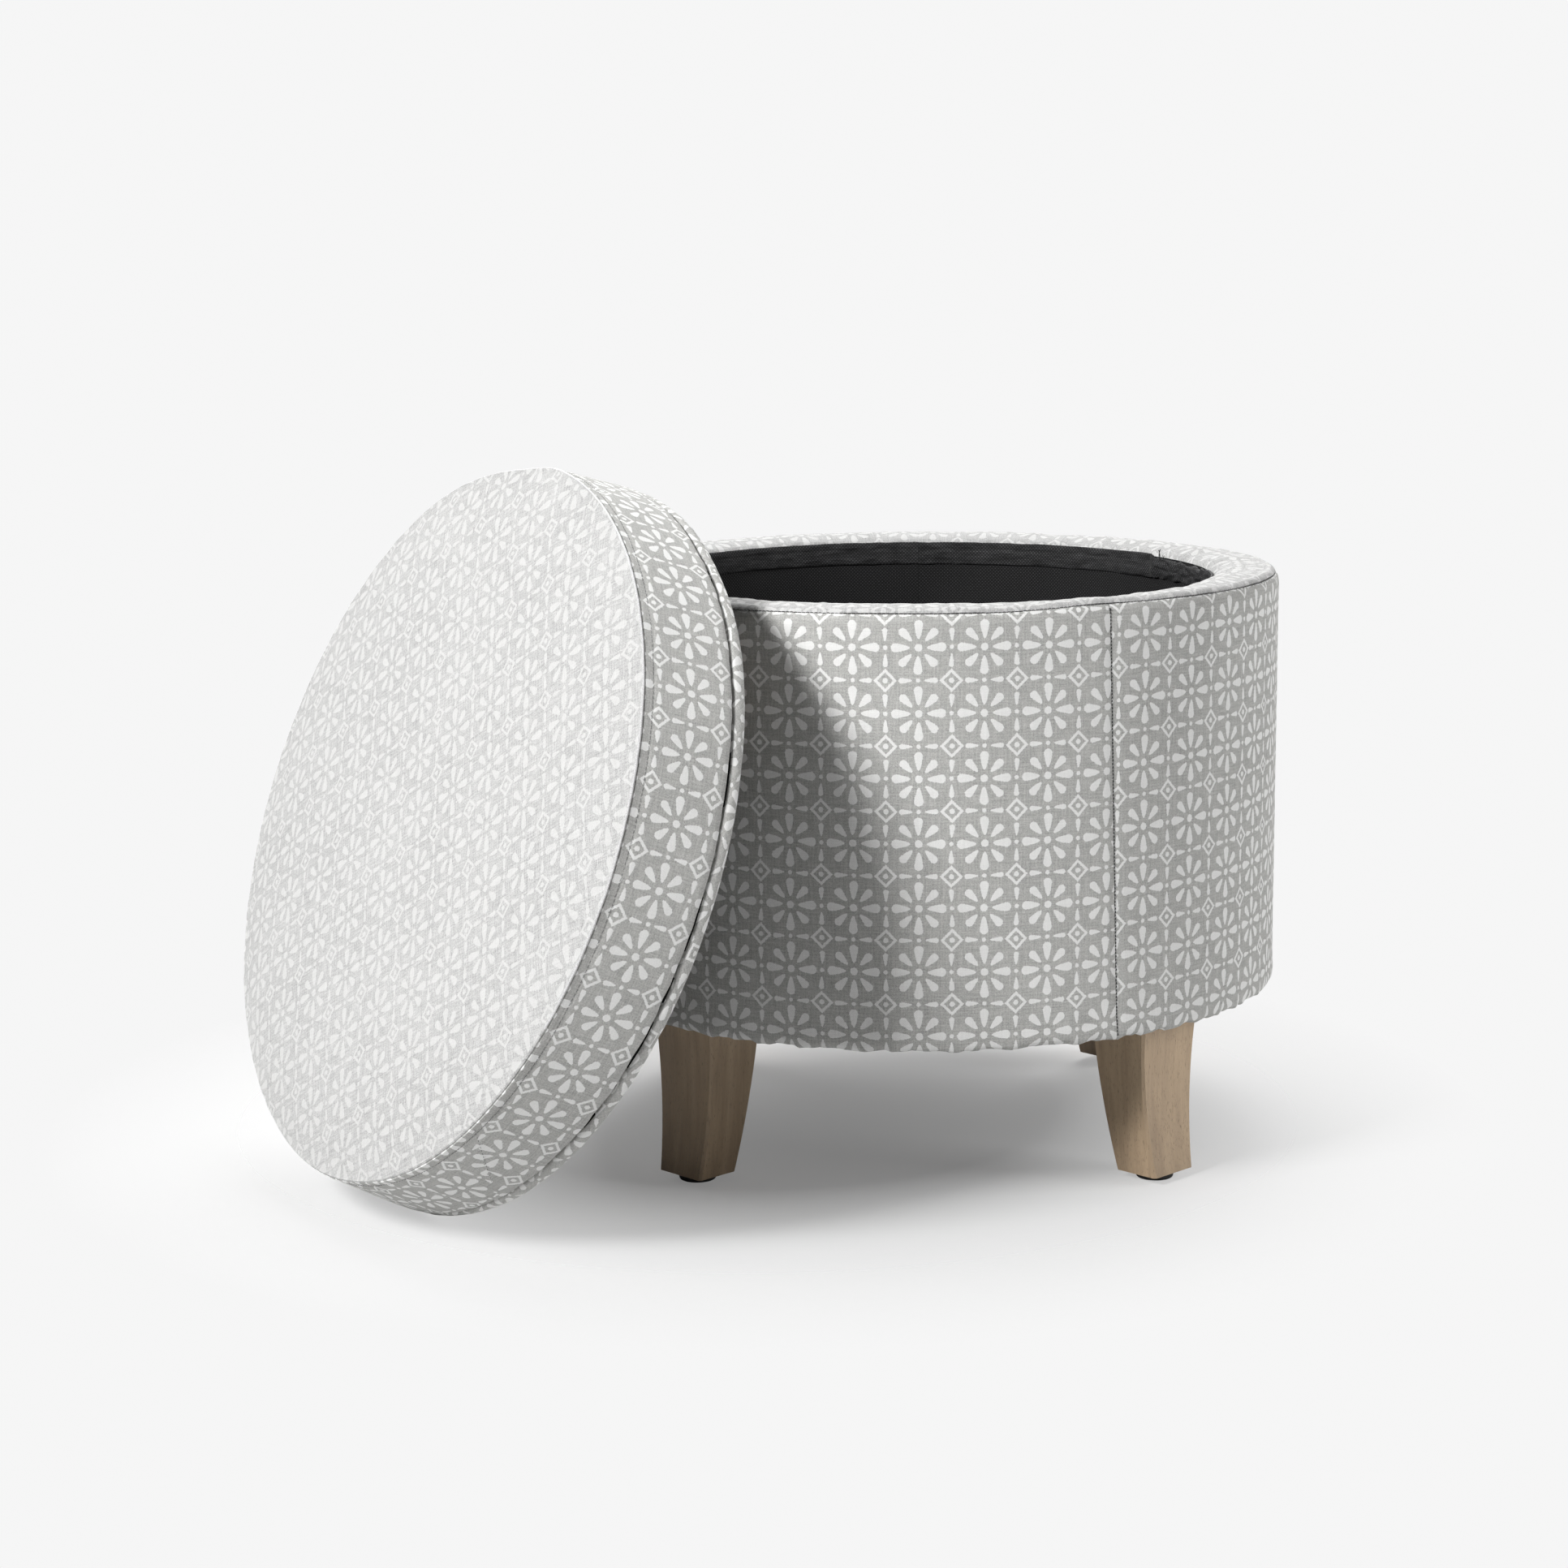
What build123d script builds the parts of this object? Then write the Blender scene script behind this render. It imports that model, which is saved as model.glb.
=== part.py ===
from build123d import *
import os
from math import cos, radians, sin, sqrt

# Round storage ottoman: a hoop-framed, padded and covered drum on four flared legs,
# with its loose padded lid leaning on it. Millimetres, +Z up. The origin is on the
# floor, in the middle of the footprint of the drum and the leaning lid together.

# Driving dimensions of the drum
drum_radius = 240.0         # over the fabric
drum_bottom = 106.3         # underside of the fabric above the floor
rim_crest = 383.0           # highest line of the padded rim, over its fabric
opening_radius = 194.8      # inside the binding tape at the mouth
fabric = 1.2                # upholstery cloth
lining = 0.8                # black non-woven cloth
board = 18.0                # plywood of the base and the top ring
hoop = 3.5                  # bent hardboard
post_count = 8
post_width = 45.0
joint_gap = 1.0             # butt joint of a bent hoop

tape_width = 12.5           # binding round the lining's top edge
dust_radius = 226.0         # black cloth under the base

# Driving dimensions of the legs
leg_turn = -43.3            # front right leg, degrees from +X about the drum's axis
leg_outer = (220.8, 219.3, 225.1)   # radius of the outer face: top, middle, foot
leg_inner = (176.4, 182.7, 192.9)   # radius of the inner face: top, middle, foot
leg_half_width = (26.9, 23.6, 19.3)     # top, middle, foot
leg_edge = 1.6              # bevel of the long edges
glide_radius = 12.0
glide_height = 5.3
bolt_radius = 3.9           # hanger bolt
bolt_below = 45.0           # length of the bolt in the leg
bolt_above = 17.0           # length of the bolt in the base board
insert_radius = 6.2         # threaded insert round each bolt
insert_length = 14.0

# Driving dimensions of the lid
lean_angle = 69.05          # of the lid from the horizontal
lean_azimuth = -55.0        # side that it leans on, from -Y towards +X
lean_offset = -13.4         # sideways, from the middle of that side
lean_gap = 0.4              # left between the lid and the rim
lid_seam_radius = 229.0     # seam of the top panel and the side band
lid_seam_height = 68.0      # above the underside
lid_crown = 8.0             # rise of the top panel
lid_flat_radius = 180.0     # middle of the top panel
lid_foot_radius = 237.6     # side band where it meets the welt
lid_board = 15.0            # plywood of the lid
welt_size = 8.4             # flattened piping round the lid's lower edge
welt_radius = 238.6         # over the piping
welt_bevel = 2.4
block_size = (45.0, 18.0, 12.0)     # locating block: length, width, height
block_circle = 178.0
block_turn = -40.5          # clears the rim that the lid leans on
flange_radius = 212.0       # inner edge of the welt's flange
lid_lining_radius = 226.0   # black cloth under the lid

# Layers of the drum, from the outside inwards and from the floor upwards
skin_inside = drum_radius - fabric
padding_inside = skin_inside - 7.8
frame_radius = padding_inside - hoop
mouth_lining = opening_radius + 1.4
wall_inside = mouth_lining + lining
ring_inside = wall_inside + fabric
wall_outside = wall_inside + hoop
base_bottom = drum_bottom + fabric
base_top = base_bottom + board
ring_top = rim_crest - 13.0
ring_bottom = ring_top - board
leg_top = drum_bottom - lining
turn_under = 170.0          # inner edge of the cloth turned under the base
bolt_circle = (leg_outer[0] + leg_inner[0]) / 2

# Section of the padded rim: bevelled outer shoulder, crowned top, lower inner edge
crest = rim_crest - fabric
rim_middle = (skin_inside + ring_inside) / 2
outer_bevel = 4.0
shoulder = crest - 8.2      # where the side turns into the bevel
seam_height = shoulder + outer_bevel
inner_edge = crest - 3.6
rim_hem = ring_bottom + 6.0
rim_points = [
    (skin_inside, shoulder),
    (skin_inside - outer_bevel, seam_height),
    (rim_middle, crest),
    (ring_inside, inner_edge),
]

# The lid stands on its welt and leans on the outer shoulder of the rim
tilt = radians(lean_angle)
side = radians(lean_azimuth)
plane_reach = sin(tilt) * drum_radius + cos(tilt) * (shoulder + fabric / 2)
plane_reach += lining + lean_gap
lining_top = crest - 6.0
lid_height = sin(tilt) * welt_radius - cos(tilt) * welt_bevel
lid_reach = (plane_reach - cos(tilt) * lid_height) / sin(tilt)
normal = Vector(sin(tilt) * sin(side), -sin(tilt) * cos(side), cos(tilt))
across = Vector(cos(side), sin(side), 0)
out = Vector(sin(side), -cos(side), 0)


def far_edge(lid_middle, tip):
    """How far the lid's top seam reaches to the negative side along one axis."""
    edge = lid_middle + tip * lid_seam_height
    return edge - lid_seam_radius * sqrt(1 - tip**2)


from_drum = out * lid_reach + across * lean_offset
drum_x = -(far_edge(from_drum.X, normal.X) + drum_radius) / 2
drum_y = -(far_edge(from_drum.Y, normal.Y) + drum_radius) / 2

drum = Plane(origin=(drum_x, drum_y, 0))
drum_section = Plane(origin=drum.origin, x_dir=(1, 0, 0), z_dir=(0, -1, 0))
drum_axis = Axis(drum.origin, (0, 0, 1))
lid_origin = drum.origin + from_drum + Vector(0, 0, lid_height)
lid = Plane(origin=lid_origin, x_dir=across, z_dir=normal)
lid_section = Plane(origin=lid_origin, x_dir=lid.x_dir, z_dir=lid.y_dir * -1)
lid_axis = Axis(lid_origin, normal)
underside = Plane(origin=lid_origin, x_dir=across, z_dir=normal * -1)

os.makedirs("parts", exist_ok=True)


# ---- drum frame ----

with BuildPart() as base_board:
    with BuildSketch(drum.offset(base_bottom)):
        Circle(frame_radius)
        with PolarLocations(bolt_circle, 4, start_angle=leg_turn):
            Circle(insert_radius, mode=Mode.SUBTRACT)
    extrude(amount=board)
base_board.part.label = "base_board"
export_step(base_board.part, "parts/base_board.step")

with BuildPart() as top_ring:
    with BuildSketch(drum.offset(ring_bottom)):
        Circle(frame_radius)
        Circle(ring_inside, mode=Mode.SUBTRACT)
    extrude(amount=board)
top_ring.part.label = "top_ring"
export_step(top_ring.part, "parts/top_ring.step")

for number in range(post_count):
    turn = (number + 0.5) * 360 / post_count
    with BuildPart() as post:
        with BuildSketch(drum.offset(base_top)):
            Circle(frame_radius)
            Circle(wall_outside, mode=Mode.SUBTRACT)
            with PolarLocations(frame_radius, 1, start_angle=turn):
                Rectangle(frame_radius, post_width, mode=Mode.INTERSECT)
        extrude(amount=ring_bottom - base_top)
    post.part.label = f"post_{number + 1}"
    export_step(post.part, f"parts/post_{number + 1}.step")

# Each hoop is a strip of hardboard bent round and butted over a post
hoops = {
    "outer_hoop": (frame_radius, padding_inside, base_bottom, ring_top),
    "inner_wall": (wall_inside, wall_outside, base_top, ring_bottom),
}
for name, (inside, outside, low, high) in hoops.items():
    with BuildPart() as bent_hoop:
        with BuildSketch(drum.offset(low)):
            Circle(outside)
            Circle(inside, mode=Mode.SUBTRACT)
            with PolarLocations(inside, 1, start_angle=180 / post_count * 5):
                Rectangle(hoop * 6, joint_gap, mode=Mode.SUBTRACT)
        extrude(amount=high - low)
    bent_hoop.part.label = name
    export_step(bent_hoop.part, f"parts/{name}.step")

# ---- drum padding and covers ----

with BuildPart() as side_padding:
    with BuildSketch(drum.offset(base_bottom)):
        Circle(skin_inside)
        Circle(padding_inside, mode=Mode.SUBTRACT)
    extrude(amount=ring_top - base_bottom)
side_padding.part.label = "side_padding"
export_step(side_padding.part, "parts/side_padding.step")

with BuildPart() as rim_padding:
    with BuildSketch(drum_section):
        with BuildLine():
            ends = [(ring_inside, ring_top), (skin_inside, ring_top)]
            Polyline(*rim_points, *ends, close=True)
        make_face()
    revolve(axis=drum_axis)
rim_padding.part.label = "rim_padding"
export_step(rim_padding.part, "parts/rim_padding.step")

# One strip of cloth runs from under the base, up the side, over the rim and into the
# mouth. It is sewn from two pieces that meet on the rim's outer shoulder.
with BuildSketch(drum_section) as cloth_strip:
    with BuildLine():
        under = [(turn_under, base_bottom), (skin_inside, base_bottom)]
        Polyline(*under, *rim_points, (ring_inside, rim_hem))
        offset(amount=fabric, side=Side.RIGHT, kind=Kind.INTERSECTION)
    make_face()

with BuildPart() as side_cover:
    with BuildSketch(drum_section):
        add(cloth_strip.sketch_local)
        with Locations((0, seam_height)):
            Rectangle(drum_radius * 1.1, 40, align=Align.MIN, mode=Mode.SUBTRACT)
        with Locations((0, rim_hem)):
            Rectangle(rim_middle, 40, align=Align.MIN, mode=Mode.SUBTRACT)
    revolve(axis=drum_axis)
    with Locations(drum.offset(drum_bottom)):
        with PolarLocations(bolt_circle, 4, start_angle=leg_turn):
            Hole(radius=bolt_radius + 0.4)
side_cover.part.label = "side_cover"
export_step(side_cover.part, "parts/side_cover.step")

with BuildPart() as rim_band:
    with BuildSketch(drum_section):
        add(cloth_strip.sketch_local)
        Rectangle(drum_radius * 1.1, rim_hem, align=Align.MIN, mode=Mode.SUBTRACT)
        with Locations((rim_middle, 0)):
            Rectangle(drum_radius, seam_height, align=Align.MIN, mode=Mode.SUBTRACT)
    revolve(axis=drum_axis)
rim_band.part.label = "rim_band"
export_step(rim_band.part, "parts/rim_band.step")

with BuildPart() as lining_wall:
    with BuildSketch(drum.offset(base_top)):
        Circle(wall_inside)
        Circle(mouth_lining, mode=Mode.SUBTRACT)
    extrude(amount=lining_top - base_top)
lining_wall.part.label = "lining_wall"
export_step(lining_wall.part, "parts/lining_wall.step")

with BuildPart() as lining_floor:
    with BuildSketch(drum.offset(base_top)):
        Circle(mouth_lining)
    extrude(amount=lining)
lining_floor.part.label = "lining_floor"
export_step(lining_floor.part, "parts/lining_floor.step")

# The binding tape folds over the top edge of the lining
with BuildPart() as binding_tape:
    with BuildSketch(drum_section):
        with Locations((opening_radius, lining_top + lining)):
            corner_of_mouth = (Align.MIN, Align.MAX)
            Rectangle(wall_inside - opening_radius, tape_width, align=corner_of_mouth)
        with Locations((mouth_lining, lining_top)):
            Rectangle(lining * 4, tape_width, align=corner_of_mouth, mode=Mode.SUBTRACT)
    revolve(axis=drum_axis)
binding_tape.part.label = "binding_tape"
export_step(binding_tape.part, "parts/binding_tape.step")

with BuildPart() as dust_cover:
    with BuildSketch(drum.offset(leg_top)):
        Circle(dust_radius)
        with PolarLocations(bolt_circle, 4, start_angle=leg_turn):
            Circle(bolt_radius + 0.4, mode=Mode.SUBTRACT)
    extrude(amount=lining)
dust_cover.part.label = "dust_cover"
export_step(dust_cover.part, "parts/dust_cover.step")


# ---- legs ----

leg_names = ["leg_front_right", "leg_back_right", "leg_back_left", "leg_front_left"]
leg_heights = (leg_top, (leg_top + glide_height) / 2, glide_height)

for number, name in enumerate(leg_names):
    turn = leg_turn + number * 90
    outward = Vector(1, 0, 0).rotate(Axis.Z, turn)
    sideways = Vector(0, 1, 0).rotate(Axis.Z, turn)
    side_view = Plane(origin=drum.origin, x_dir=outward, z_dir=sideways * -1)
    front_view = Plane(origin=drum.origin, x_dir=sideways, z_dir=outward)
    with BuildPart() as leg:
        with BuildSketch(side_view):
            with BuildLine():
                face = ThreePointArc(*zip(leg_outer, leg_heights))
                back = ThreePointArc(*zip(leg_inner, leg_heights))
                Line(face @ 0, back @ 0)
                Line(face @ 1, back @ 1)
            make_face()
        extrude(amount=drum_radius / 4, both=True)
        with BuildSketch(front_view):
            with BuildLine():
                flank = ThreePointArc(*zip(leg_half_width, leg_heights))
                Line(flank @ 0, (0, leg_top))
                Line(flank @ 1, (0, glide_height))
                mirror(about=Plane.YZ)
            make_face()
        extrude(amount=drum_radius * 1.1, mode=Mode.INTERSECT)
        chamfer(leg.edges().filter_by(GeomType.LINE, reverse=True), leg_edge)
        with Locations(Plane(origin=drum.origin + outward * bolt_circle)):
            with Locations((0, 0, leg_top)):
                Hole(radius=bolt_radius, depth=bolt_below)
    leg.part.label = name
    export_step(leg.part, f"parts/{name}.step")

with BuildPart() as leg_glides:
    with BuildSketch(drum):
        with PolarLocations((leg_outer[2] + leg_inner[2]) / 2, 4, start_angle=leg_turn):
            Circle(glide_radius)
    extrude(amount=glide_height)
leg_glides.part.label = "leg_glides"
export_step(leg_glides.part, "parts/leg_glides.step")

with BuildPart() as leg_bolts:
    with BuildSketch(drum.offset(leg_top - bolt_below)):
        with PolarLocations(bolt_circle, 4, start_angle=leg_turn):
            Circle(bolt_radius)
    extrude(amount=bolt_below + base_bottom - leg_top + bolt_above)
leg_bolts.part.label = "leg_bolts"
export_step(leg_bolts.part, "parts/leg_bolts.step")

# Threaded inserts are sunk in the base board from below, each round a bolt
with BuildPart() as threaded_inserts:
    with BuildSketch(drum.offset(base_bottom)):
        with PolarLocations(bolt_circle, 4, start_angle=leg_turn):
            Circle(insert_radius)
            Circle(bolt_radius, mode=Mode.SUBTRACT)
    extrude(amount=insert_length)
threaded_inserts.part.label = "threaded_inserts"
export_step(threaded_inserts.part, "parts/threaded_inserts.step")


# ---- lid ----

board_top = fabric + lid_board
board_radius = welt_radius - welt_size

# Under the cloth: crowned top, sides that lean in from the welt to the top seam
cloth_edge = (lid_seam_radius - fabric, lid_seam_height - fabric)
cloth_foot = (lid_foot_radius - fabric, welt_size)
cloth_top = lid_seam_height + lid_crown - fabric

with BuildPart() as lid_board_disc:
    with BuildSketch(lid.offset(fabric)):
        Circle(board_radius)
    extrude(amount=lid_board)
lid_board_disc.part.label = "lid_board"
export_step(lid_board_disc.part, "parts/lid_board.step")

# The foam rests on the board and is wrapped down over its edge
with BuildPart() as lid_foam:
    with BuildSketch(lid_section):
        with BuildLine():
            Polyline(
                (0, cloth_top),
                (lid_flat_radius, cloth_top),
                cloth_edge,
                cloth_foot,
                (board_radius, welt_size),
                (board_radius, board_top),
                (0, board_top),
                close=True,
            )
        make_face()
    revolve(axis=lid_axis)
lid_foam.part.label = "lid_foam"
export_step(lid_foam.part, "parts/lid_foam.step")

with BuildPart() as lid_top_cover:
    with BuildSketch(lid_section):
        with BuildLine():
            Polyline(
                (0, cloth_top),
                (lid_flat_radius, cloth_top),
                (lid_seam_radius, lid_seam_height - fabric),
                (lid_seam_radius, lid_seam_height),
                (lid_flat_radius, cloth_top + fabric),
                (0, cloth_top + fabric),
                close=True,
            )
        make_face()
    revolve(axis=lid_axis)
lid_top_cover.part.label = "lid_top_cover"
export_step(lid_top_cover.part, "parts/lid_top_cover.step")

with BuildPart() as lid_side_band:
    with BuildSketch(lid_section):
        with BuildLine():
            Polyline(
                cloth_foot,
                cloth_edge,
                (lid_seam_radius, lid_seam_height - fabric),
                (lid_foot_radius, welt_size),
                close=True,
            )
        make_face()
    revolve(axis=lid_axis)
lid_side_band.part.label = "lid_side_band"
export_step(lid_side_band.part, "parts/lid_side_band.step")

# Flattened piping in a folded strip, whose flange is stapled under the board
with BuildPart() as lid_welt:
    with BuildSketch(lid_section) as welt_section:
        with Locations((welt_radius, 0)):
            Rectangle(welt_size, welt_size, align=(Align.MAX, Align.MIN))
        chamfer(welt_section.vertices().group_by(Axis.X)[-1], welt_bevel)
        with Locations((flange_radius, 0)):
            Rectangle(board_radius - flange_radius, fabric, align=Align.MIN)
    revolve(axis=lid_axis)
lid_welt.part.label = "lid_welt"
export_step(lid_welt.part, "parts/lid_welt.step")

with BuildPart() as lid_lining_disc:
    with BuildSketch(lid.offset(-lining)):
        Circle(lid_lining_radius)
    extrude(amount=lining)
lid_lining_disc.part.label = "lid_lining"
export_step(lid_lining_disc.part, "parts/lid_lining.step")

# Four blocks under the lid drop inside the drum's mouth and keep the lid centred
block_length, block_width, block_height = block_size
for number in range(4):
    turn = radians(block_turn + number * 90)
    around = underside.x_dir * cos(turn) + underside.y_dir * sin(turn)
    seat = Plane(
        origin=lid_origin + around * block_circle - normal * lining,
        x_dir=around,
        z_dir=normal * -1,
    )
    with BuildPart() as block:
        with BuildSketch(seat):
            Rectangle(block_width, block_length)
        extrude(amount=block_height)
        chamfer(block.edges().filter_by(Axis(lid_origin, normal)), 3)
        chamfer(block.faces().sort_by(lid_axis)[0].edges(), 1.5)
    block.part.label = f"locating_block_{number + 1}"
    export_step(block.part, f"parts/{block.part.label}.step")
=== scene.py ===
import bpy
import random
from math import atan2, cos, degrees, hypot, pi, radians, sin
from mathutils import Matrix, Vector, noise


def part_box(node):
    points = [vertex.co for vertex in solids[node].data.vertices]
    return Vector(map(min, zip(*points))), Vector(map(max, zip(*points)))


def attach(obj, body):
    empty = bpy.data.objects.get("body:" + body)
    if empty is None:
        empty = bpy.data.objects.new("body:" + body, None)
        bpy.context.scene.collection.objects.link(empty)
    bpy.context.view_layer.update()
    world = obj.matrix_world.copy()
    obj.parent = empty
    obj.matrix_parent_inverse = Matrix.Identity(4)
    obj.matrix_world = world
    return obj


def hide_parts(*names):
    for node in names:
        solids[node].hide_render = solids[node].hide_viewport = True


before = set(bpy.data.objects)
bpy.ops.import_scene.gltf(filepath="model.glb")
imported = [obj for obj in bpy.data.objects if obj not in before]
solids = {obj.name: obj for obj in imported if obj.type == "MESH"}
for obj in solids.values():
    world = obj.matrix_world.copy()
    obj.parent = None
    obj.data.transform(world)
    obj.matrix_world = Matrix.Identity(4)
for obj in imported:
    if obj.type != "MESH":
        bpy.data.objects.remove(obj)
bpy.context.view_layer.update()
scene = bpy.context.scene
print("frame loaded,", len(solids), "solids")

# The drum stands on its own axis, and the lid leans on it in a frame of its own
leaning = {"lean": radians(69.05), "side": radians(-55), "halfLining": 0.0004}
drumMiddle = sum(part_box("dust_cover"), Vector()) / 2
drumPlace = Matrix.Translation((drumMiddle.x, drumMiddle.y, 0))
lean, leanSide = leaning["lean"], leaning["side"]
lidUp = Vector((sin(lean) * sin(leanSide), -sin(lean) * cos(leanSide), cos(lean)))
lidAcross = Vector((cos(leanSide), sin(leanSide), 0))
lidMiddle = sum(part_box("lid_lining"), Vector()) / 2 + lidUp * leaning["halfLining"]
lidTurn = Matrix((lidAcross, lidUp.cross(lidAcross), lidUp)).transposed()
lidPlace = Matrix.Translation(lidMiddle) @ lidTurn.to_4x4()

# Camera
view = {
    "place": (0.1061, -2.0327, 0.5942), "lens": 72, "sensor": 36,
    "yaw": -0.0434, "pitch": 0.1696, "roll": -0.0088,
}
yaw, pitch, roll = view["yaw"], view["pitch"], view["roll"]
right = Vector((cos(yaw), -sin(yaw), 0))
ahead = Vector((sin(yaw), cos(yaw), 0)) * cos(pitch) - Vector((0, 0, sin(pitch)))
above = right.cross(ahead)
cameraRight = right * cos(roll) + above * sin(roll)
cameraUp = above * cos(roll) - right * sin(roll)
cameraTurn = Matrix((cameraRight, cameraUp, -ahead)).transposed().to_4x4()
cameraData = bpy.data.cameras.new("camera")
cameraData.lens = view["lens"]
cameraData.sensor_width = view["sensor"]
camera = bpy.data.objects.new("camera", cameraData)
camera.matrix_world = Matrix.Translation(view["place"]) @ cameraTurn
scene.collection.objects.link(camera)
scene.camera = camera
print("camera set")


class Wire:
    # a socket of a node tree, so that shader maths is written as sums
    def __init__(self, tree, socket=None):
        self.tree = tree
        self.socket = socket

    def node(self, kind, settings={}, sockets={}, output=0):
        made = self.tree.nodes.new(kind)
        for key, value in settings.items():
            setattr(made, key, value)
        for key, value in sockets.items():
            if isinstance(value, Wire):
                self.tree.links.new(value.socket, made.inputs[key])
            else:
                made.inputs[key].default_value = value
        return Wire(self.tree, made.outputs[output]) if made.outputs else made

    def maths(self, operation, *values, clamp=False):
        settings = {"operation": operation, "use_clamp": clamp}
        return self.node("ShaderNodeMath", settings, dict(enumerate(values)))

    def vector(self, operation, *values, output=0):
        sockets = {3 if operation == "SCALE" and n else n: value for n, value in enumerate(values)}
        return self.node("ShaderNodeVectorMath", {"operation": operation}, sockets, output)

    def split(self):
        made = self.tree.nodes.new("ShaderNodeSeparateXYZ")
        self.tree.links.new(self.socket, made.inputs[0])
        return [Wire(self.tree, out) for out in made.outputs]

    def point(self, **axes):
        return self.node("ShaderNodeCombineXYZ", {}, axes)

    def colour(self, red, green, blue):
        return self.node("ShaderNodeCombineColor", {}, {0: red, 1: green, 2: blue})

    def mix(self, share, first, second):
        return self.node("ShaderNodeMix", {"data_type": "RGBA"}, {0: share, 6: first, 7: second}, 2)

    def objectPlace(self):
        return self.node("ShaderNodeTexCoord", output="Object")

    def clothPlace(self):
        # the place on the flat cloth, in millimetres
        return self.vector("SCALE", self.node("ShaderNodeUVMap", {"uv_map": "cloth"}), 1000)

    def mottle(self, place, scale, detail=2.0, rough=0.5, output=0):
        sockets = {"Vector": place, "Scale": scale, "Detail": detail, "Roughness": rough}
        return self.node("ShaderNodeTexNoise", {}, sockets, output)

    def level(self, low, high, least=0.0, most=1.0):
        return self.node("ShaderNodeMapRange", {}, {0: self, 1: low, 2: high, 3: least, 4: most})

    def spread(self, least, most):
        # mottle seldom leaves 0.3 to 0.7
        return self.level(0.3, 0.7, least, most)

    def __add__(self, other):
        return self.maths("ADD", self, other)

    __radd__ = __add__

    def __sub__(self, other):
        return self.maths("SUBTRACT", self, other)

    def __rsub__(self, other):
        return self.maths("SUBTRACT", other, self)

    def __mul__(self, other):
        return self.maths("MULTIPLY", self, other)

    __rmul__ = __mul__

    def __truediv__(self, other):
        return self.maths("DIVIDE", self, other)

    def __mod__(self, other):
        return self.maths("FLOORED_MODULO", self, other)

    def __gt__(self, other):
        return self.maths("GREATER_THAN", self, other)

    def __abs__(self):
        return self.maths("ABSOLUTE", self)


def startFinish(name):
    finish = bpy.data.materials.new(name)
    finish.use_nodes = True
    finish.node_tree.nodes.clear()
    return finish, Wire(finish.node_tree)


def endFinish(wire, colour, rough, height=None, depth=0.0002, **fixed):
    sockets = {"Base Color": colour, "Roughness": rough}
    for key, value in fixed.items():
        sockets[key.replace("_", " ")] = value
    if height is not None:
        sockets["Normal"] = wire.node("ShaderNodeBump", {}, {"Height": height, "Distance": depth})
    shader = wire.node("ShaderNodeBsdfPrincipled", {}, sockets)
    wire.node("ShaderNodeOutputMaterial", {}, {"Surface": shader})


def grey(level):
    return (level, level, level, 1)


def darker(colour, share):
    return tuple(value * share for value in colour[:3]) + (1,)


# A plain printed check of rosettes, in millimetres from the middle of one. A lozenge
# stands at each corner of the square, and a dot between two drops on each of its sides.
rosettes = {
    "pitch": 40.0, "wander": 0.9, "wanderScale": 0.03, "heart": 2.35,
    # where a petal or drop starts and ends, and its half width at the end
    "straightPetal": (5.1, 13.8, 2.8), "slantPetal": (4.0, 9.3, 2.55), "sideDrop": (3.8, 10.2, 1.65),
    "lozenge": 6.0, "line": 0.85, "lozengeDot": 1.65, "sideDot": 1.35,
}


def drawRosettes():
    tree = bpy.data.node_groups.new("rosettePrint", "ShaderNodeTree")
    tree.interface.new_socket("Place", in_out="INPUT", socket_type="NodeSocketVector")
    tree.interface.new_socket("Depth", in_out="OUTPUT", socket_type="NodeSocketFloat")
    ink = Wire(tree)
    start = ink.node("NodeGroupInput")
    pitch, half = rosettes["pitch"], rosettes["pitch"] / 2
    drift = ink.mottle(start, rosettes["wanderScale"], 1.0, output=1)
    drift = ink.vector("SUBTRACT", drift, (0.5, 0.5, 0.5))
    x, y, flat = ink.vector("ADD", start, ink.vector("SCALE", drift, 2 * rosettes["wander"])).split()

    # fold every place onto one eighth of a square
    across = abs((x + half) % pitch - half)
    up = abs((y + half) % pitch - half)
    far, near = ink.maths("MAXIMUM", across, up), ink.maths("MINIMUM", across, up)
    spot = ink.point(X=far, Y=near)

    def dot(place, radius):
        return radius - ink.vector("DISTANCE", spot, place, output=1)

    def drop(low, high, radius):
        run = Vector(high) - Vector(low)
        way = ink.vector("SUBTRACT", spot, low)
        share = ink.vector("DOT_PRODUCT", way, tuple(run / run.length_squared), output=1).level(0, 1)
        offLine = ink.vector("DISTANCE", way, ink.vector("SCALE", tuple(run), share), output=1)
        return ink.maths("POWER", share, 0.5) * radius - offLine

    low, high, wide = rosettes["straightPetal"]
    slantLow, slantHigh, slantWide = rosettes["slantPetal"]
    sideLow, sideHigh, sideWide = rosettes["sideDrop"]
    offCorner = abs(pitch - rosettes["lozenge"] - far - near)
    depth = drop((low, 0, 0), (high, 0, 0), wide)
    shapes = [
        drop((slantLow, slantLow, 0), (slantHigh, slantHigh, 0), slantWide),
        drop((half, sideLow, 0), (half, sideHigh, 0), sideWide),
        dot((0, 0, 0), rosettes["heart"]),
        dot((half, 0, 0), rosettes["sideDot"]),
        dot((half, half, 0), rosettes["lozengeDot"]),
        rosettes["line"] - offCorner * 0.7,
    ]
    for shape in shapes:
        depth = ink.maths("MAXIMUM", depth, shape)
    ink.node("NodeGroupOutput", {}, {"Depth": depth})
    return tree


rosetteGroup = drawRosettes()

# Printed canvas: plain weave with slubs, and a pale print that sits in its threads
clothLook = {
    # painted shade: the lid top's and the rim's copies of the cloth have a darker ground and a much darker
    # print, to offset the stronger light on surfaces that face up
    "ground": 0.435, "print": 0.79, "topGroundPaintedShade": 0.395, "topPrintPaintedShade": 0.495,
    "rimGroundPaintedShade": 0.425, "rimPrintPaintedShade": 0.57, "thread": 0.62, "rough": 0.88,
    "heather": 0.08, "fleck": 0.1, "soften": 0.45, "bump": 0.00022,
}


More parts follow.
